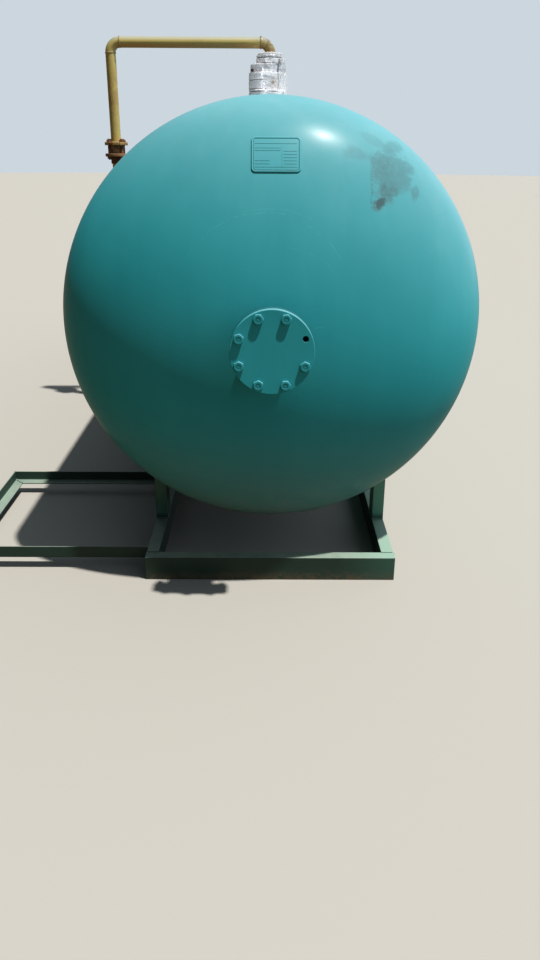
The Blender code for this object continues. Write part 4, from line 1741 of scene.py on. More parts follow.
@dataclass
class EndCover:
    """The flanged neck on the front head and its bolted round cover, one bolt missing."""

    vessel: Vessel
    neck_wall: float = 0.0071
    neck_sides: int = 64
    plate_sides: int = 128
    weld_steps: int = 120
    weld_out: float = 0.0005
    weld_forward: float = 0.001
    bolt_circle: float = 0.240
    bolt_hole: float = 0.022
    bolts: int = 8
    missing: int = 0
    edge: float = 0.0018
    hole_play: float = 0.0002
    hole_wall: float = 0.0006
    hole_floor: float = 0.004
    hole_lip: float = 0.0015
    bolt: Fastener = Fastener(flats=0.031, height=0.0094, thread=0.0165, out=-0.0010, shank=0.050)
    nut: Fastener = Fastener(0.030, 0.016, 0.0195, 0.006, washer=0.037, washer_thickness=0.003)

    def __post_init__(self) -> None:
        """Read the cover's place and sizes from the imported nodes."""
        self.neck = size_of("cover_neck").x / 2
        self.face = -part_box("cover_plate")[0].y
        self.back = -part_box("cover_neck_flange")[1].y
        self.front = facing((0, 0, self.vessel.axis_height), (0, -1, 0))
        self.holes = circle(self.bolt_circle / 2, self.bolts, start=180 / self.bolts)

    def build(self) -> None:
        """Build the neck, flange, cover, bolts and the neck's fillet welds."""
        low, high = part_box("cover_neck")
        pipe = tube(self.neck, self.neck_wall, -high.y, -low.y)
        neck = turned("cover_neck_pipe", pipe, self.neck_sides, self.front, COVER_ENAMEL)
        deliver(neck, Slot.TANK, "cover_neck")
        # The neck flange is darker as painted shade.
        self.plate("neck_flange", "cover_neck_flange", self.neck, PAINTED_SHADE_ENAMEL)
        self.plate("bolted_cover", "cover_plate", 0.0, COVER_ENAMEL)
        self.fasten()
        self.empty_hole()
        joint = self.vessel.head_y(self.neck, 0) - self.weld_forward
        runs = []
        for y in (joint, -self.back):
            seat = facing((0, y, self.vessel.axis_height), (0, -1, 0))
            runs.append(ring_path(self.neck + self.weld_out, seat, self.weld_steps))
        weld("neck_welds", runs, FILLET_BEAD, COVER_ENAMEL, 2.0, Slot.TANK)

    def plate(self, name: str, node: str, bore: float, finish: Finish) -> None:
        """Add the flange or the cover, with its bolt holes.

        Args:
            name: the piece's name.
            node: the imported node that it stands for.
            bore: the radius of its hole.
            finish: its finish.
        """
        low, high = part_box(node)
        radius = size_of("cover_plate").x / 2
        profile = disc(radius, -high.y, -low.y, self.edge, bore)
        plate = turned(name, profile, self.plate_sides, self.front, finish)
        middle = self.front @ Matrix.Translation((0, 0, -(low.y + high.y) / 2))
        deliver(drilled(plate, self.holes, self.bolt_hole, middle, finish), Slot.TANK, node)

    def fasten(self) -> None:
        """Add a bolt in every hole but the missing one, its head in front and its nut behind."""
        kept = [hole for index, hole in enumerate(self.holes) if index != self.missing]
        forward = (self.front.to_3x3() @ Z_AXIS).normalized()
        heads = [(self.front @ (hole + Z_AXIS * self.face), forward) for hole in kept]
        nuts = [(self.front @ (hole + Z_AXIS * self.back), -forward) for hole in kept]
        self.bolt.place("cover_bolts", heads, COVER_ENAMEL, 5, Slot.TANK)
        self.nut.place("cover_nuts", nuts, COVER_ENAMEL, 9, Slot.TANK, 0.02)

    def empty_hole(self) -> None:
        """Add the sleeve and the floor of the empty bolt hole."""
        outer = self.bolt_hole / 2 - self.hole_play
        inner = outer - self.hole_wall
        face = self.face - self.hole_lip
        floor = self.back + self.hole_floor
        profile = [(0, self.back), (outer, self.back), (outer, face)]
        profile += [(inner, face), (inner, floor), (0, floor)]
        place = self.front @ Matrix.Translation(self.holes[self.missing])
        deliver(turned("empty_bolt_hole", profile, 32, place, COVER_ENAMEL), Slot.TANK)


@dataclass
class Nameplate:
    """The painted-over tray on the front head, with a blank ruled plate in it."""

    vessel: Vessel
    width: float = 0.1640
    height: float = 0.1250
    lower: float = 0.006
    corner: float = 0.014
    sunk: float = 0.003
    rise: float = 0.0036
    rim: float = 0.0072
    recess: float = 0.0016
    play: float = 0.0006
    sheet: float = 0.0010
    lift: float = 0.0002
    face_rings: int = 7
    face_hole: float = 0.004
    rim_steps: int = 8
    rim_foot: float = 0.0001
    weld_out: float = 0.0005
    weld_sunk: float = 0.0008
    line: float = 0.0020
    line_rise: float = 0.0008
    line_step: float = 0.012
    lines: tuple[tuple[float, float, float], ...] = (
        (0.84, 0.03, 0.97),
        (0.70, 0.03, 0.60),
        (0.62, 0.03, 0.60),
        (0.50, 0.66, 0.96),
        (0.60, 0.66, 0.96),
        (0.40, 0.66, 0.96),
        (0.30, 0.66, 0.96),
        (0.30, 0.03, 0.36),
        (0.20, 0.03, 0.36),
        (0.20, 0.66, 0.96),
        (0.10, 0.03, 0.97),
    )
    divider: tuple[float, float, float] = (0.63, 0.10, 0.84)

    def __post_init__(self) -> None:
        """Find the tray's place on the head."""
        middle = centre_of("nameplate")
        above = middle.z - self.vessel.axis_height - self.lower
        normal = self.vessel.head_normal(0.0, above)
        origin = Vector((middle.x, self.vessel.head_y(0.0, above), self.vessel.axis_height + above))
        self.place = axes(origin, X_AXIS, normal.cross(X_AXIS), normal)

    def outline(self, inset: float, steps: int = 8, sides: int = 10) -> Profile:
        """Lay out the tray's rounded outline, its straight sides divided.

        Args:
            inset: how far it is moved in.
            steps: how many steps a corner takes.
            sides: how many steps a straight side takes.

        Returns:
            The outline.
        """
        corner = max(self.corner - inset, 0.002)
        across = self.width / 2 - inset - corner
        upright = self.height / 2 - inset - corner
        bends = []
        for turn, (right, above) in enumerate(((1, 1), (-1, 1), (-1, -1), (1, -1))):
            bends.append(arc((right * across, above * upright), corner, 90 * turn, 90 * turn + 90, steps))
        points = []
        for bend, following in zip(bends, bends[1:] + bends[:1]):
            points += [*bend, *between(bend[-1], following[0], sides)[1:-1]]
        return points

    def seat(self, u: float, v: float, level: float) -> Vector:
        """Find a point over the head.

        Args:
            u: its place across the tray's middle plane.
            v: its place up that plane.
            level: its height over the head.

        Returns:
            The point.
        """
        flat = self.place @ Vector((u, v, 0))
        above = flat.z - self.vessel.axis_height
        normal = self.vessel.head_normal(flat.x, above)
        return Vector((flat.x, self.vessel.head_y(flat.x, above), flat.z)) + normal * level

    def layered(self, bm: Draft, levels: Profile, start: float, floor: float) -> None:
        """Add a closed body that follows the head, with a level face that runs in nearly to the middle.

        Args:
            bm: what it is added to.
            levels: the (inset, level) of its outline, from its foot to the rim of that face.
            start: the inset that the face's rings are spaced from.
            floor: the level of the face.
        """
        last = self.height / 2 - self.face_hole
        inner = [(inset, floor) for inset in spread(start, last, self.face_rings)[1:]]
        rings = []
        for inset, level in levels + inner:
            rings.append([bm.verts.new(self.seat(u, v, level)) for u, v in self.outline(inset)])
        bridge(bm, rings)

    def tray(self) -> Thing:
        """Make the tray: a rounded rim round a floor that follows the head.

        Returns:
            The tray.
        """
        floor = self.rise - self.recess
        half = self.rim / 2
        side = self.rise - half
        levels = [(0.0, -self.sunk), (0.0, side)]
        for angle in spread(0, math.pi, self.rim_steps)[1:-1]:
            levels.append((half - half * math.cos(angle), side + half * math.sin(angle)))
        levels += [(self.rim, side), (self.rim + self.rim_foot, floor)]
        bm = bmesh.new()
        self.layered(bm, levels, self.rim, floor)
        return solid("nameplate_rim", bm, ENAMEL)

    def plate(self) -> Thing:
        """Make the thin plate with raised ruled lines and no lettering.

        Returns:
            The plate.
        """
        bm = bmesh.new()
        low = self.rise - self.recess + self.lift
        top = low + self.sheet
        outer = self.rim + self.play
        inner = outer + self.play
        self.layered(bm, [(outer, low), (outer, top - self.sheet / 2), (inner, top)], inner, top)
        runs = [((start, level), (end, level)) for level, start, end in self.lines]
        across, first, last = self.divider
        size = (self.width - 2 * self.rim, self.height - 2 * self.rim)
        for ends in runs + [((across, first), (across, last))]:
            start, end = (Vector(((u - 0.5) * size[0], (v - 0.5) * size[1], 0)) for u, v in ends)
            self.ridge(bm, top, start, end)
        return solid("nameplate_sheet", bm, ENAMEL)

    def ridge(self, bm: Draft, top: float, start: Vector, end: Vector) -> None:
        """Add one raised line with sloping sides and ends that follows the head.

        Args:
            bm: what it is added to.
            top: the plate's level.
            start: one end, on the tray's middle plane.
            end: the other end.
        """
        length = (end - start).length
        along = (end - start).normalized()
        aside = Z_AXIS.cross(along) * (self.line / 2)
        slope = self.line / 3
        count = max(2, round(length / self.line_step))
        rings = []
        for distance in [0.0, *spread(slope, length - slope, count), length]:
            crest = 0.2 if distance in (0.0, length) else 1.0
            ring = []
            for share, rise in ((-1.0, -0.3), (-0.35, crest), (0.35, crest), (1.0, -0.3)):
                point = start + along * distance + aside * share
                ring.append(bm.verts.new(self.seat(point.x, point.y, top + self.line_rise * rise)))
            rings.append(ring)
        bridge(bm, rings)

    def build(self) -> None:
        """Build the tray, the plate with its ruled lines, and the tray's weld."""
        deliver(self.tray(), Slot.TANK, "nameplate_tray")
        deliver(self.plate(), Slot.TANK, "nameplate")
        points = []
        for u, v in self.outline(-self.weld_out):
            point = self.place @ Vector((u, v, 0))
            above = point.z - self.vessel.axis_height
            depth = self.vessel.head_y(point.x, above) + self.weld_sunk
            points.append(Vector((point.x, depth, point.z)))
        weld("nameplate_weld", [(points, True)], THIN_BEAD, ENAMEL, 21.0, Slot.TANK)


@dataclass
class Skid:
    """The skid of rolled channels, the four legs that stand on it and the wear pads under the shell."""

    vessel: Vessel
    height: float = 0.100
    flange: float = 0.050
    web: float = 0.005
    thickness: float = 0.0075
    fillet: float = 0.008
    pad_thickness: float = 0.010
    pad_edge: float = 0.0015
    pad_steps: int = 28
    leg_steps: int = 8
    weld_margin: float = 0.004
    weld_top: float = 0.001
    weld_sunk: float = 0.0005
    pad_weld_out: float = 0.0015

    def __post_init__(self) -> None:
        """Work out the section and the radius that the legs' tops are cut to."""
        self.section = Section.channel(self.height, self.flange, self.web, self.thickness, self.fillet)
        self.saddle = self.vessel.radius + self.pad_thickness + 2 * PLAY

    def saddle_height(self, across: float) -> float:
        """Return the height of the legs' curved tops at a distance from the tank's axis."""
        return self.vessel.axis_height - math.sqrt(self.saddle**2 - across**2)

    def leg(self, end: str, side: str, sign: int) -> None:
        """Add one leg with its curved top, and its welds to the beam and the pad.

        Args:
            end: front or rear.
            side: left or right.
            sign: the side of x that it stands on.
        """
        node = f"leg_{end}_{side}"
        low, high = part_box(node)
        inner = low.x if sign > 0 else -high.x
        self.section.fill(
            f"leg_channel_{end}_{side}",
            node,
            X_AXIS * sign,
            Y_AXIS,
            centred=True,
            top=lambda u: self.saddle_height(inner + u),
        )
        outer = inner + self.flange
        corners = ((outer, low.y), (inner, low.y), (inner, high.y), (outer, high.y))
        feet = line_path(*((sign * x, y, low.z) for x, y in corners))
        around = []
        for first, second in zip(corners, corners[1:]):
            around += between(first, second, self.leg_steps)[:-1]
        around.append(corners[-1])
        tops = line_path(*((sign * x, y, self.saddle_height(x)) for x, y in around))
        weld(f"leg_welds_{end}_{side}", [feet, tops], FILLET_BEAD, FRAME_PAINT, low.y + sign, Slot.SKID)

    def pad(self, end: str, side: str, sign: int) -> None:
        """Add one curved wear pad and the weld round it.

        Args:
            end: front or rear.
            side: left or right.
            sign: the side of x that it lies on.
        """
        node = f"leg_pad_{end}_{side}"
        low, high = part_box(node)
        inner = self.vessel.radius + PLAY
        outer = inner + self.pad_thickness
        first = math.asin(min(abs(low.x), abs(high.x)) / inner)
        last = math.asin(max(abs(low.x), abs(high.x)) / outer)
        edge = self.pad_edge
        outline = [(inner, low.y), (outer - edge, low.y), (outer, low.y + edge)]
        outline += [(outer, high.y - edge), (outer - edge, high.y), (inner, high.y)]
        centre = Z_AXIS * self.vessel.axis_height
        bm = bmesh.new()
        rings = []
        for turn in spread(first, last, self.pad_steps):
            axis = Vector((sign * math.sin(turn), 0, -math.cos(turn)))
            rings.append([bm.verts.new(centre + axis * radius + Y_AXIS * y) for radius, y in outline])
        bridge(bm, rings)
        deliver(solid(f"wear_pad_{end}_{side}", bm, ENAMEL), Slot.TANK, node)

        seat = self.vessel.radius + self.pad_weld_out
        height = self.vessel.axis_height
        points = []
        for y, ends in ((low.y, (first, last)), (high.y, (last, first))):
            for turn in spread(*ends, self.pad_steps):
                points.append((sign * seat * math.sin(turn), y, height - seat * math.cos(turn)))
        weld(f"pad_weld_{end}_{side}", [(points, True)], FILLET_BEAD, ENAMEL, low.y - sign, Slot.TANK)

    def joints(self) -> None:
        """Add the welds between the long beams and the cross channels."""
        low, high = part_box("skid_beam_left")
        middle_low, middle_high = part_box("skid_cross_middle")
        inner, outer = abs(high.x), abs(low.x)
        foot = self.weld_margin
        top = self.height - self.weld_top
        runs = []
        for sign in (-1, 1):
            x = sign * outer
            for y in (low.y, high.y):
                runs.append(line_path((x - sign * self.web, y, self.height), (sign * inner, y, self.height)))
                runs.append(line_path((x, y, foot), (x, y, self.height - foot)))
            x = sign * (inner - self.weld_sunk)
            runs.append(line_path((x, middle_low.y, foot), (x, middle_low.y, top), (x, middle_high.y, top)))
        weld("skid_welds", runs, FILLET_BEAD, FRAME_PAINT, 31.0, Slot.SKID)

    def build(self) -> None:
        """Build the whole skid."""
        for side, sign in SIDES:
            self.section.fill(f"long_channel_{side}", f"skid_beam_{side}", X_AXIS * sign, centred=True)
        for end, along_u in (("front", Y_AXIS), ("rear", -Y_AXIS), ("middle", Y_AXIS)):
            self.section.fill(f"cross_channel_{end}", f"skid_cross_{end}", along_u, centred=True)
        self.joints()
        for end in ("front", "rear"):
            for side, sign in SIDES:
                self.leg(end, side, sign)
                self.pad(end, side, sign)


@dataclass
class Outrigger:
    """The open frame of angle iron beside the front of the skid."""

    leg: float = 0.050
    thickness: float = 0.005
    weld_in: float = 0.001

    def build(self) -> None:
        """Build the frame and its welds."""
        section = Section.angle(self.leg, self.thickness)
        for node, along_u, mitres in (
            ("outrigger_front", Y_AXIS, (1.0, 0.0)),
            ("outrigger_rear", -Y_AXIS, (1.0, 0.0)),
            ("outrigger_outer", X_AXIS, (1.0, 1.0)),
        ):
            section.fill(f"{node}_angle", node, along_u, mitres=mitres)
        runs = []
        for node, near, sign in (("outrigger_front", 0, 1), ("outrigger_rear", 1, -1)):
            low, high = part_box(node)
            y = (low, high)[near].y
            edge, inside, far = (
                (low.x + reach, y + sign * reach) for reach in (self.weld_in, self.thickness, self.leg)
            )
            foot = low.z + self.thickness
            runs.append(line_path((*edge, low.z), (*edge, high.z)))
            runs.append(line_path((*inside, foot), (*far, foot)))
            end = (high.x, y + sign * self.leg, low.z)
            runs.append(line_path((high.x, y, high.z), (high.x, y, low.z), end))
        weld("outrigger_welds", runs, FILLET_BEAD, FRAME_PAINT, 41.0, Slot.SKID)


@dataclass
class RiserSupport:
    """The angle post behind the riser, its arm to the skid and the band that holds the pipe."""

    leg: float = 0.050
    thickness: float = 0.005
    tab_width: float = 0.020
    tab_inset: float = 0.002
    band_sides: int = 48
    screw_levels: tuple[float, float] = (0.3, 0.7)
    edge: float = 0.0015
    screw: Fastener = Fastener(0.010, 0.0045, 0.006, 0.0015, washer=0.012, washer_thickness=0.001)

    def build(self) -> None:
        """Build the post, the arm, the clamp and their welds."""
        section = Section.angle(self.leg, self.thickness)
        section.fill("support_post", "riser_post", X_AXIS, Y_AXIS)
        section.fill("support_arm", "riser_arm", Y_AXIS)
        self.clamp()
        low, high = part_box("riser_arm")
        runs = [line_path((x, low.y, high.z), (x, low.y, low.z), (x, high.y, low.z)) for x in (low.x, high.x)]
        weld("support_welds", runs, FILLET_BEAD, FRAME_PAINT, 43.0, Slot.SKID)

    def clamp(self) -> None:
        """Add the band round the pipe, the tab that ties it to the post, and its screws."""
        low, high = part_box("riser_clamp")
        pipe = size_of("riser_lower").x / 2
        x = centre_of("riser_lower").x
        radius = -low.y
        band = disc(radius, low.z, high.z, self.edge, pipe + PLAY)
        piece = turned("pipe_clamp", band, self.band_sides, Matrix.Translation((x, 0, 0)), FRAME_PAINT)
        deliver(piece, Slot.SKID, "riser_clamp")

        near = pipe + self.tab_inset
        size = (self.tab_width, high.y - near, high.z - low.z - self.tab_inset)
        middle = Matrix.Translation((x, (high.y + near) / 2, (low.z + high.z) / 2))
        tab = bmesh.new()
        bmesh.ops.create_cube(tab, size=1.0, matrix=middle @ Matrix.Diagonal((*size, 1)))
        bmesh.ops.bevel(tab, geom=tab.edges[:], offset=self.edge / 2, segments=2, affect="EDGES")
        deliver(solid("clamp_tab", tab, FRAME_PAINT), Slot.SKID)

        seats = []
        for z in (low.z + (high.z - low.z) * level for level in self.screw_levels):
            for sign in (-1, 1):
                side = x + sign * self.tab_width / 2
                seats.append((Vector((side, (radius + high.y) / 2, z)), X_AXIS * sign))
        self.screw.place("clamp_screws", seats, OLD_IRON, 51, Slot.RUST, 0.03)


@dataclass
class TopValve:
    """The top nozzle and its shut-off valve, wrapped in stretch film from flange to flange."""

    vessel: Vessel
    neck_wall: float = 0.0076
    neck_sides: int = 48
    flange_sides: int = 96
    flange_edge: float = 0.002
    weld_out: float = 0.001
    bolt_circle: float = 0.160
    bolt_hole: float = 0.016
    bolts: int = 8
    nut: Fastener = Fastener(0.024, 0.013, 0.016, 0.004, washer=0.030, washer_thickness=0.0025, shank=0.018)
    plug: Fastener = Fastener(0.013, 0.010, 0.008, 0.002, washer=0.018, washer_thickness=0.002)
    plug_seat: Seat = (Vector((-0.1030, -0.0495, 2.056)), Vector((-0.83, -0.56, 0.0)))
    film_depth: float = 0.026
    film_sides: int = 200
    film_step: float = 0.003
    gather_steps: int = 12
    gather_rise: float = 0.009
    gather_radius: float = 0.0335
    tiers: tuple[tuple[float, float, float], ...] = (
        (1.9250, 0.1150, -0.0135),
        (1.9500, 0.1140, -0.0145),
        (1.9515, 0.0985, -0.0305),
        (2.0440, 0.0975, -0.0305),
        (2.0450, 0.0920, -0.0285),
        (2.0890, 0.0905, -0.0275),
        (2.0900, 0.0780, -0.0055),
        (2.1360, 0.0770, -0.0055),
        (2.1380, 0.0745, -0.0030),
        (2.1475, 0.0730, -0.0010),
    )
    flap_levels: tuple[float, float] = (1.948, 2.122)
    flap_reach: tuple[float, float] = (0.092, 0.076)
    flap_spread: float = 56.0
    flap_facing: float = 2.0
    flap_bulge: float = 0.013
    flap_thickness: float = 0.0005
    flap_columns: int = 72
    flap_rows: int = 40

    def wound(self, height: float) -> tuple[float, float]:
        """Find the wound film at a height, before its creases.

        Args:
            height: the height.

        Returns:
            The film's radius, and its middle's place to the right.
        """
        for (low, radius, aside), (high, next_radius, next_aside) in zip(self.tiers, self.tiers[1:]):
            if height <= high:
                share = max(0.0, (height - low) / (high - low))
                return radius + (next_radius - radius) * share, aside + (next_aside - aside) * share
        return self.tiers[-1][1:]

    @staticmethod
    def fold_at(turn: float, height: float) -> float:
        """Work out how deep the film is drawn in between two layers.

        Args:
            turn: the direction in degrees.
            height: the height.

        Returns:
            The depth.
        """
        deepest = 0.0
        for fold in FOLDS:
            beside = max(0.0, min(turn - fold.start, fold.end - turn))
            reach = max(0.0, 1 - ((height - fold.level) / fold.half) ** 2)
            deepest = max(deepest, fold.depth * reach * min(1.0, beside / 6))
        return deepest

    @staticmethod
    def crease(angle: float, height: float) -> float:
        """Work out how far a crease moves the film.

        Args:
            angle: the direction in radians.
            height: the height.

        Returns:
            The distance, outwards.
        """
        x, y = Vector((math.cos(angle), math.sin(angle)))
        wound = noise.noise(Vector((x * 1.4, y * 1.4, height * 62 + x * 1.2)))
        gathered = noise.noise(Vector((x * 9.0, y * 9.0, height * 14 + 5)))
        pulled = noise.noise(Vector((x * 4.0 + height * 30, y * 4.0, height * 34 + 9)))
        sharp = 1 - abs(gathered) * 2.2
        return 0.0010 * wound + 0.0008 * sharp * abs(sharp) + 0.0009 * pulled

    def film_rings(self) -> list[tuple[float, float, float, float]]:
        """Lay out the film's closed profile: up its outside, in over its gathered top and down inside.

        Returns:
            The height, radius, place to the right and amount of creasing of each ring.
        """
        low, top = self.tiers[0][0], self.tiers[-1][0]
        heights = {*spread(low, top, round((top - low) / self.film_step)), *(tier[0] for tier in self.tiers)}
        for fold in FOLDS:
            heights |= {fold.level + fold.half * share for share in (-1.0, -0.6, 0.0, 0.6, 1.0)}
        outer = [(height, *self.wound(height), 1.0) for height in sorted(heights)]
        _, radius, aside, _ = outer[-1]
        gather = []
        for share in spread(0, 1, self.gather_steps)[1:]:
            height = top + self.gather_rise * share**2.2
            across = radius + (self.gather_radius - radius) * share
            gather.append((height, across, aside * (1 - share), 1 + 1.4 * math.sin(share * math.pi)))
        depth = self.film_depth
        inner = [(ring[0] - depth, ring[1], 0.0, 0.0) for ring in gather[::-1] if ring[1] < radius - depth]
        for height, across, aside, _ in reversed(outer[::4]):
            if height < top - depth:
                inner.append((height, across - depth, aside, 0.0))
        return outer + gather + inner

    def film(self) -> Thing:
        """Make the wound film, a closed thick layer that follows the fittings under it.

        Returns:
            The film.
        """
        bm = bmesh.new()
        rings = []
        for height, across, aside, amount in self.film_rings():
            ring = []
            for step in range(self.film_sides):
                turn = (360 * step / self.film_sides + 90) % 360 + 60
                angle = math.radians(turn)
                reach = across + (self.crease(angle, height) - self.fold_at(turn, height)) * amount
                lift = noise.noise(Vector((math.cos(angle) * 2, math.sin(angle) * 2, across * 60)))
                z = height + 0.0014 * lift * min(1.0, amount)
                ring.append(bm.verts.new((aside + reach * math.cos(angle), reach * math.sin(angle), z)))
            rings.append(ring)
        bridge(bm, rings, looped=True)
        return solid("stretch_film_wrap", bm, FILM)

    def flap_point(self, row: int, column: int, inwards: float) -> Vector:
        """Find a point of the loose end of film.

        Args:
            row: its row, from below.
            column: its column.
            inwards: how far it lies inside the film's outer face.

        Returns:
            The point.
        """
        share = row / self.flap_rows
        side = 2 * column / self.flap_columns - 1
        middle = self.flap_facing
        height = self.flap_levels[0] + (self.flap_levels[1] - self.flap_levels[0]) * share
        angle = math.radians(middle + side * self.flap_spread)
        pleat = noise.noise(Vector((angle * 9, height * 4, middle)))
        ripple = noise.noise(Vector((angle * 30, height * 16, middle + 4)))
        radius = self.flap_reach[0] + (self.flap_reach[1] - self.flap_reach[0]) * share
        bulge = self.flap_bulge * math.cos(side * math.pi / 2) * (0.75 + 0.5 * pleat)
        radius += bulge + 0.0004 * ripple - inwards
        ragged = height + 0.006 * noise.noise(Vector((angle * 5, middle, 2))) * (1 - 2 * share)
        return Vector((radius * math.cos(angle), radius * math.sin(angle), ragged))

    def loose_film(self) -> Thing:
        """Make the loose end of clear film that stands off the wrap.

        Returns:
            The thin closed sheet.
        """
        rows, columns = self.flap_rows, self.flap_columns
        bm = bmesh.new()
        outer, inner = (
            [
                [bm.verts.new(self.flap_point(row, column, inwards)) for column in range(columns + 1)]
                for row in range(rows + 1)
            ]
            for inwards in (0.0, self.flap_thickness)
        )
        for row in range(rows):
            for column in range(columns):
                corners = ((row, column), (row, column + 1), (row + 1, column + 1), (row + 1, column))
                bm.faces.new([outer[r][c] for r, c in corners])
                bm.faces.new([inner[r][c] for r, c in reversed(corners)])
        rim = [(0, column) for column in range(columns)] + [(row, columns) for row in range(rows)]
        rim += [(rows, column) for column in range(columns, 0, -1)] + [(row, 0) for row in range(rows, 0, -1)]
        for (r, c), (next_r, next_c) in zip(rim, rim[1:] + rim[:1]):
            bm.faces.new((outer[r][c], inner[r][c], inner[next_r][next_c], outer[next_r][next_c]))
        return solid("loose_film_side", bm, CLEAR_FILM)

    def saddle_path(self, radius: float, steps: int = 72) -> Run:
        """Lay out the closed line where an upright pipe meets the shell.

        Args:
            radius: the pipe's radius.
            steps: how many steps it takes.

        Returns:
            The path.
        """
        points = circle(radius, steps)
        for point in points:
            point.z = self.vessel.axis_height + math.sqrt(self.vessel.radius**2 - point.x**2)
        return points, True

    def build(self) -> None:
        """Build the nozzle, its flange and bolts, and the film round the valve."""
        here = Matrix.Identity(4)
        low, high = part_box("top_nozzle_neck")
        neck = size_of("top_nozzle_neck").x / 2
        pipe = tube(neck, self.neck_wall, low.z, high.z)
        deliver(turned("nozzle_pipe", pipe, self.neck_sides, here, ENAMEL), Slot.TANK, "top_nozzle_neck")
        low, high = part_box("top_nozzle_flange")
        profile = disc(high.x, low.z, high.z, self.flange_edge, neck + PLAY)
        flange = turned("nozzle_flange", profile, self.flange_sides, here, ENAMEL)
        holes = circle(self.bolt_circle / 2, self.bolts, start=180 / self.bolts)
        middle = Matrix.Translation((0, 0, (low.z + high.z) / 2))
        deliver(drilled(flange, holes, self.bolt_hole, middle, ENAMEL), Slot.TANK, "top_nozzle_flange")
        seats = [(hole + Z_AXIS * low.z, -Z_AXIS) for hole in holes]
        self.nut.place("nozzle_nuts", seats, OLD_IRON, 61, Slot.RUST, 0.02)
        fillet = neck + self.weld_out
        runs = [self.saddle_path(fillet), ring_path(fillet, Matrix.Translation((0, 0, low.z)))]
        weld("nozzle_welds", runs, FILLET_BEAD, ENAMEL, 63.0, Slot.TANK)
        deliver(self.film(), Slot.FILM, "wrapped_shutoff_valve")
        deliver(self.loose_film(), Slot.FILM)
        self.plug.place("valve_plug", [self.plug_seat], DARK_IRON, 67, Slot.RUST)


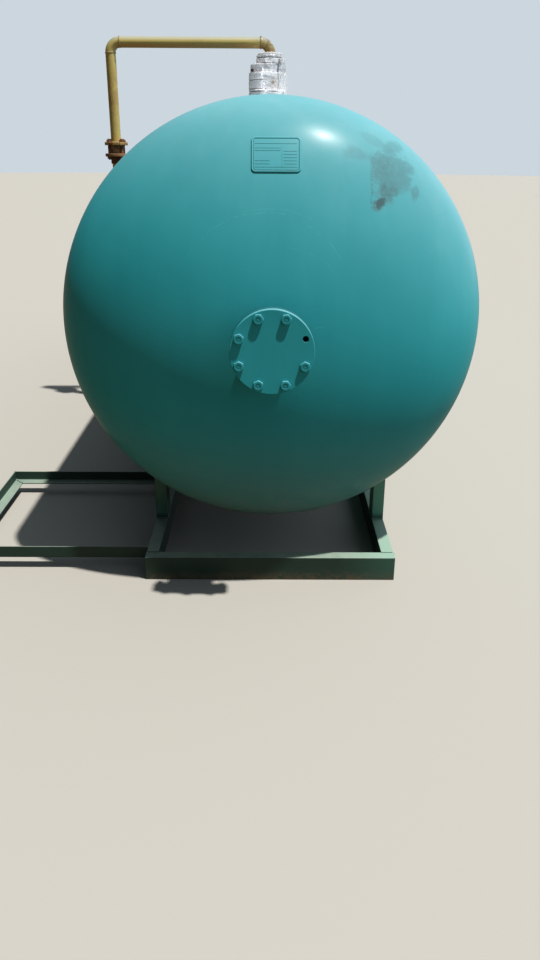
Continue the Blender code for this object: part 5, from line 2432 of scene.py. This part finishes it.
@dataclass
class FillingLine:
    """The ochre filling line: over from the wrapped valve, down the riser and out at the blinded end."""

    pipe_sides: int = 40
    bend_radius: float = 0.057
    bend_steps: int = 14
    bolt_circle: float = 0.110
    bolt_hole: float = 0.016
    bolts: int = 4
    edge: float = 0.0018
    valve_waist: float = 0.0475
    socket_edge: float = 0.003
    casting_sides: int = 64
    flange_sides: int = 80
    butt_sunk: float = 0.0012
    fillet_out: float = 0.0008
    crest_rise: float = 0.0030
    crest_share: float = 0.93
    nut_flats: float = 0.024
    nut_height: float = 0.013
    stud_past_nuts: float = 0.018

    def __post_init__(self) -> None:
        """Read the line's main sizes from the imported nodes."""
        self.radius = size_of("pipe_top_run").z / 2
        self.height = centre_of("pipe_top_run").z
        self.riser_x = centre_of("riser_upper").x
        self.fill_height = centre_of("fill_flange").z
        self.holes = circle(self.bolt_circle / 2, self.bolts, start=45)

    def on_riser(self, height: float) -> Vector:
        """Return the point on the riser's axis at a height."""
        return Vector((self.riser_x, 0, height))

    def pipe(self, name: str, node: str, *points: Vector) -> None:
        """Add one pipe along a path in a node's place.

        Args:
            name: the piece's name.
            node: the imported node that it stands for.
            points: the path.
        """
        thing = path_object(name, [(points, False)])
        PIPE.run(thing, Pipe_Radius=self.radius, Sides=self.pipe_sides, Finish=PIPE_PAINT.material())
        deliver(smoothed(thing), Slot.PIPE, node)

    def bend(self, corner: Vector, first: Vector, second: Vector, tail: float = 0.0) -> list[Vector]:
        """Lay out a quarter bend.

        Args:
            corner: where the two pipes' axes meet.
            first: the direction of its first end from the corner.
            second: the direction of its other end.
            tail: how far it runs straight on at its first end.

        Returns:
            The points of its axis.
        """
        centre = corner + (first + second) * self.bend_radius
        points = [corner + first * (self.bend_radius + tail)] if tail else []
        for angle in spread(0, math.pi / 2, self.bend_steps):
            inward = second * math.cos(angle) + first * math.sin(angle)
            points.append(centre - inward * self.bend_radius)
        return points

    def flange(self, name: str, node: str, axis: Vector, finish: Finish, slot: Slot = Slot.PIPE) -> None:
        """Add one flange in a node's place, with its bolt holes.

        Args:
            name: the piece's name.
            node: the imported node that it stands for.
            axis: the direction of its axis.
            finish: its finish.
            slot: the record's material slot.
        """
        size = size_of(node)
        half = abs(size.dot(axis)) / 2
        across = max(part for part, share in zip(size, axis) if abs(share) < 0.5)
        place = facing(centre_of(node), axis)
        ring = turned(name, disc(across / 2, -half, half, self.edge), self.flange_sides, place, finish)
        deliver(drilled(ring, self.holes, self.bolt_hole, place, finish), slot, node)

    def studs(self, name: str, low: Vector, high: Vector, axis: Vector, seed: int) -> None:
        """Add studs with nuts on both sides of a flanged joint.

        Args:
            name: what their names start with.
            low: the joint's lower face, on its axis.
            high: its upper face.
            axis: the direction from one to the other.
            seed: the seed of their turns.
        """
        shank = (high - low).length + self.stud_past_nuts
        stud = Fastener(self.nut_flats, self.nut_height, 0.014, 0.006, shank=shank)
        seats = [(facing(high, axis) @ hole, axis) for hole in self.holes]
        stud.place(f"{name}_studs", seats, OLD_IRON, seed, Slot.RUST)
        nut = Fastener(self.nut_flats, self.nut_height, 0.013, 0.001)
        seats = [(facing(low, -axis) @ hole, -axis) for hole in self.holes]
        nut.place(f"{name}_nuts", seats, OLD_IRON, seed + 1, Slot.RUST)

    def build(self) -> None:
        """Build the line from the valve down to its blinded end."""
        low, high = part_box("pipe_top_run")
        corner = Z_AXIS * self.height
        tail = self.height - self.bend_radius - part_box("pipe_top_elbow")[0].z
        self.flange("line_flange", "outlet_flange", Z_AXIS, PIPE_PAINT)
        self.pipe("line_bend_inner", "pipe_top_elbow", *self.bend(corner, -Z_AXIS, -X_AXIS, tail))
        self.pipe("line_run", "pipe_top_run", *(corner + X_AXIS * x for x in (high.x, low.x)))
        bend = self.bend(self.on_riser(self.height), X_AXIS, -Z_AXIS)
        self.pipe("line_bend_outer", "pipe_side_elbow", *bend)
        for name, node in (("riser_pipe_upper", "riser_upper"), ("riser_pipe_lower", "riser_lower")):
            low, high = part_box(node)
            self.pipe(name, node, self.on_riser(high.z), self.on_riser(low.z))
        self.check_valve()
        self.fill_end()
        self.welds()

    def check_valve(self) -> None:
        """Add the check valve, its flanges and studs, and the rusty coupling below."""
        self.flange("valve_flange_upper", "check_valve_upper_flange", Z_AXIS, PAINTED_IRON)
        self.flange("valve_flange_lower", "check_valve_lower_flange", Z_AXIS, CAST_IRON, Slot.RUST)
        low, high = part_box("check_valve_body")
        here = Matrix.Translation(self.on_riser(0))
        bore, waist = self.radius * 0.8, self.valve_waist
        lower = ((bore, 0.0), (waist - 0.002, 0.0), (waist, 0.002), (waist, 0.012), (waist - 0.004, 0.016))
        profile = [(across, low.z + inset) for across, inset in lower]
        profile += [(across, high.z - inset) for across, inset in reversed(lower)]
        casting = turned("check_valve_casting", profile, self.casting_sides, here, CAST_IRON)
        deliver(casting, Slot.RUST, "check_valve_body")
        bottom = self.on_riser(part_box("check_valve_lower_flange")[0].z)
        top = self.on_riser(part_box("check_valve_upper_flange")[1].z)
        self.studs("check_valve", bottom, top, Z_AXIS, 71)
        low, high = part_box("riser_coupling")
        profile = disc((high.x - low.x) / 2, low.z, high.z, self.socket_edge, self.radius + PLAY)
        socket = turned("riser_socket", profile, self.casting_sides, here, OLD_IRON)
        deliver(socket, Slot.RUST, "riser_coupling")

    def fill_end(self) -> None:
        """Add the bend at the riser's foot with its flange, blind and studs."""
        tail = self.riser_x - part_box("fill_elbow")[0].x - self.bend_radius
        bend = self.bend(self.on_riser(self.fill_height), -X_AXIS, Z_AXIS, tail)
        self.pipe("fill_bend", "fill_elbow", *bend)
        self.flange("fill_joint_flange", "fill_flange", X_AXIS, PIPE_PAINT)
        self.flange("fill_blind_flange", "fill_blind", X_AXIS, PIPE_PAINT)
        outer = Vector((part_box("fill_blind")[0].x, 0, self.fill_height))
        inner = Vector((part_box("fill_flange")[1].x, 0, self.fill_height))
        self.studs("fill_end", outer, inner, X_AXIS, 81)

    def welds(self) -> None:
        """Add the butt welds at the bends and the fillets at the flanges."""
        butt = self.radius - self.butt_sunk
        fillet = self.radius + self.fillet_out
        left, right = (facing((end.x, 0, self.height), X_AXIS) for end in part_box("pipe_top_run"))
        foot = facing((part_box("fill_flange")[1].x, 0, self.fill_height), X_AXIS)
        upright = (
            (butt, self.on_riser(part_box("riser_upper")[1].z)),
            (butt, self.on_riser(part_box("riser_lower")[0].z)),
            (fillet, Z_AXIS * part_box("outlet_flange")[1].z),
            (fillet, self.on_riser(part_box("check_valve_upper_flange")[1].z)),
        )
        runs = [ring_path(butt, left), ring_path(butt, right)]
        runs += [ring_path(radius, Matrix.Translation(middle)) for radius, middle in upright]
        runs.append(ring_path(fillet, foot))
        ring, _ = ring_path(butt + self.crest_rise, right)
        lowest = self.height + self.radius * self.crest_share
        crest = [point for point in ring if point.z > lowest]
        runs.append((sorted(crest, key=lambda point: point.y), False))
        weld("line_welds", runs, PIPE_BEAD, WELD_PAINT, 91.0, Slot.PIPE)


@dataclass
class Studio:
    """The pale floor, the sun and sky, and the camera at the photograph's viewing angle."""

    floor_radius: float = 60.0
    floor_sides: int = 96
    floor_level: float = -0.0005
    backdrop: Colour = linear(204, 214, 222)
    sky_colour: Colour = linear(222, 236, 250)
    sky_low: float = 0.055
    sky_right: float = 0.74
    sky_behind: float = 0.60
    sky_above: float = 0.20
    left_shade: float = 0.85
    sun_strength: float = 6.3
    sun_colour: Tint = (1.0, 0.97, 0.92)
    sun_softness: float = 1.4
    lamp_place: Tint = (-2.5, -6.0, 2.6)
    lamp_target: Tint = (-0.01, 0.0, 2.025)
    lamp_power: float = 620.0
    lamp_colour: Tint = (1.0, 0.95, 0.98)
    lamp_cone: float = 3.3
    lamp_blend: float = 0.5
    lamp_radius: float = 0.08
    camera_place: Tint = (-0.0202, -5.3145, 1.6177)
    camera_pitch: float = 22.631
    camera_yaw: float = 0.356
    camera_roll: float = -0.35
    focal_pixels: float = 790.6
    image_height: float = 960.0
    sensor: float = 36.0
    farthest: float = 200.0

    def floor(self) -> None:
        """Add the round plain floor."""
        bm = bmesh.new()
        bmesh.ops.create_circle(bm, cap_ends=True, segments=self.floor_sides, radius=self.floor_radius)
        thing = drawn("floor", bm)
        thing.data.materials.append(FLOOR_PAINT.material())
        thing.location.z = self.floor_level

    def sky(self) -> None:
        """Light the scene with a soft sky, brightest to the right and behind, and a plain backdrop."""
        world = bpy.data.worlds.new("studio_sky")
        bpy.context.scene.world = world
        world.use_nodes = True
        graph = Graph(world.node_tree)
        right, rear, up = graph.split(graph.add("ShaderNodeTexCoord", output="Generated"))
        level = right.step(0.05, 0.80) * self.sky_right + rear.step(-0.15, 0.60) * self.sky_behind
        level = level + up.step(0.45, 1.0) * self.sky_above + self.sky_low
        level = level * (1 - right.step(0.0, -0.7) * self.left_shade)
        seen = graph.add("ShaderNodeLightPath", output="Is Camera Ray")
        background = world.node_tree.nodes["Background"]
        graph.feed(background.inputs["Color"], graph.tint(self.sky_colour, self.backdrop, seen))
        graph.feed(background.inputs["Strength"], level * (1 - seen) + seen)

    def light(self, name: str, kind: str, power: float, colour: Tint, place: Matrix) -> bpy.types.Light:
        """Add one light.

        Args:
            name: its name.
            kind: its type.
            power: its strength.
            colour: its colour.
            place: where it stands, facing its own -Z.

        Returns:
            The light's settings.
        """
        light = bpy.data.lights.new(name, kind)
        light.energy = power
        light.color = colour
        linked(name, light).matrix_world = place
        return light

    def lights(self) -> None:
        """Add the sun, high at the front right, and a narrow lamp on the front of the wrapped valve."""
        high = facing((0, 0, 10), SUNNY_SIDE)
        sun = self.light("sun", "SUN", self.sun_strength, self.sun_colour, high)
        sun.angle = math.radians(self.sun_softness)
        near = facing(self.lamp_place, Vector(self.lamp_place) - Vector(self.lamp_target))
        lamp = self.light("valve_lamp", "SPOT", self.lamp_power, self.lamp_colour, near)
        lamp.spot_size = math.radians(self.lamp_cone)
        lamp.spot_blend = self.lamp_blend
        lamp.shadow_soft_size = self.lamp_radius

    def camera(self) -> None:
        """Add the camera, placed and turned as the photograph's was."""
        lens = bpy.data.cameras.new("camera")
        lens.sensor_width = self.sensor
        lens.lens = self.focal_pixels / self.image_height * self.sensor
        lens.clip_end = self.farthest
        eye = linked("camera", lens)
        yaw = Matrix.Rotation(-math.radians(self.camera_yaw), 4, "Z")
        pitch = Matrix.Rotation(math.pi / 2 - math.radians(self.camera_pitch), 4, "X")
        roll = Matrix.Rotation(-math.radians(self.camera_roll), 4, "Z")
        eye.matrix_world = Matrix.Translation(self.camera_place) @ yaw @ pitch @ roll
        bpy.context.scene.camera = eye

    def build(self) -> None:
        """Build the studio."""
        self.floor()
        self.sky()
        self.lights()
        self.camera()
        bpy.context.scene.view_settings.view_transform = "Standard"


def dress(node: str, finish: Finish) -> None:
    """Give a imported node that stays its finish.

    Args:
        node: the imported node.
        finish: its finish.
    """
    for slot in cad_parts[node].material_slots:
        slot.material = finish.material()
    LOG.info("%s stays, in %s", node, finish.name)


def main() -> None:
    """Build the tank piece by piece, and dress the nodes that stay."""
    logging.basicConfig(level=logging.INFO, format="%(name)s: %(message)s")
    Studio().build()
    vessel = Vessel()
    vessel.build()
    EndCover(vessel).build()
    Nameplate(vessel).build()
    Skid(vessel).build()
    Outrigger().build()
    RiserSupport().build()
    TopValve(vessel).build()
    FillingLine().build()
    dress("cover_gasket", FIBRE)


if __name__ == "__main__":
    main()
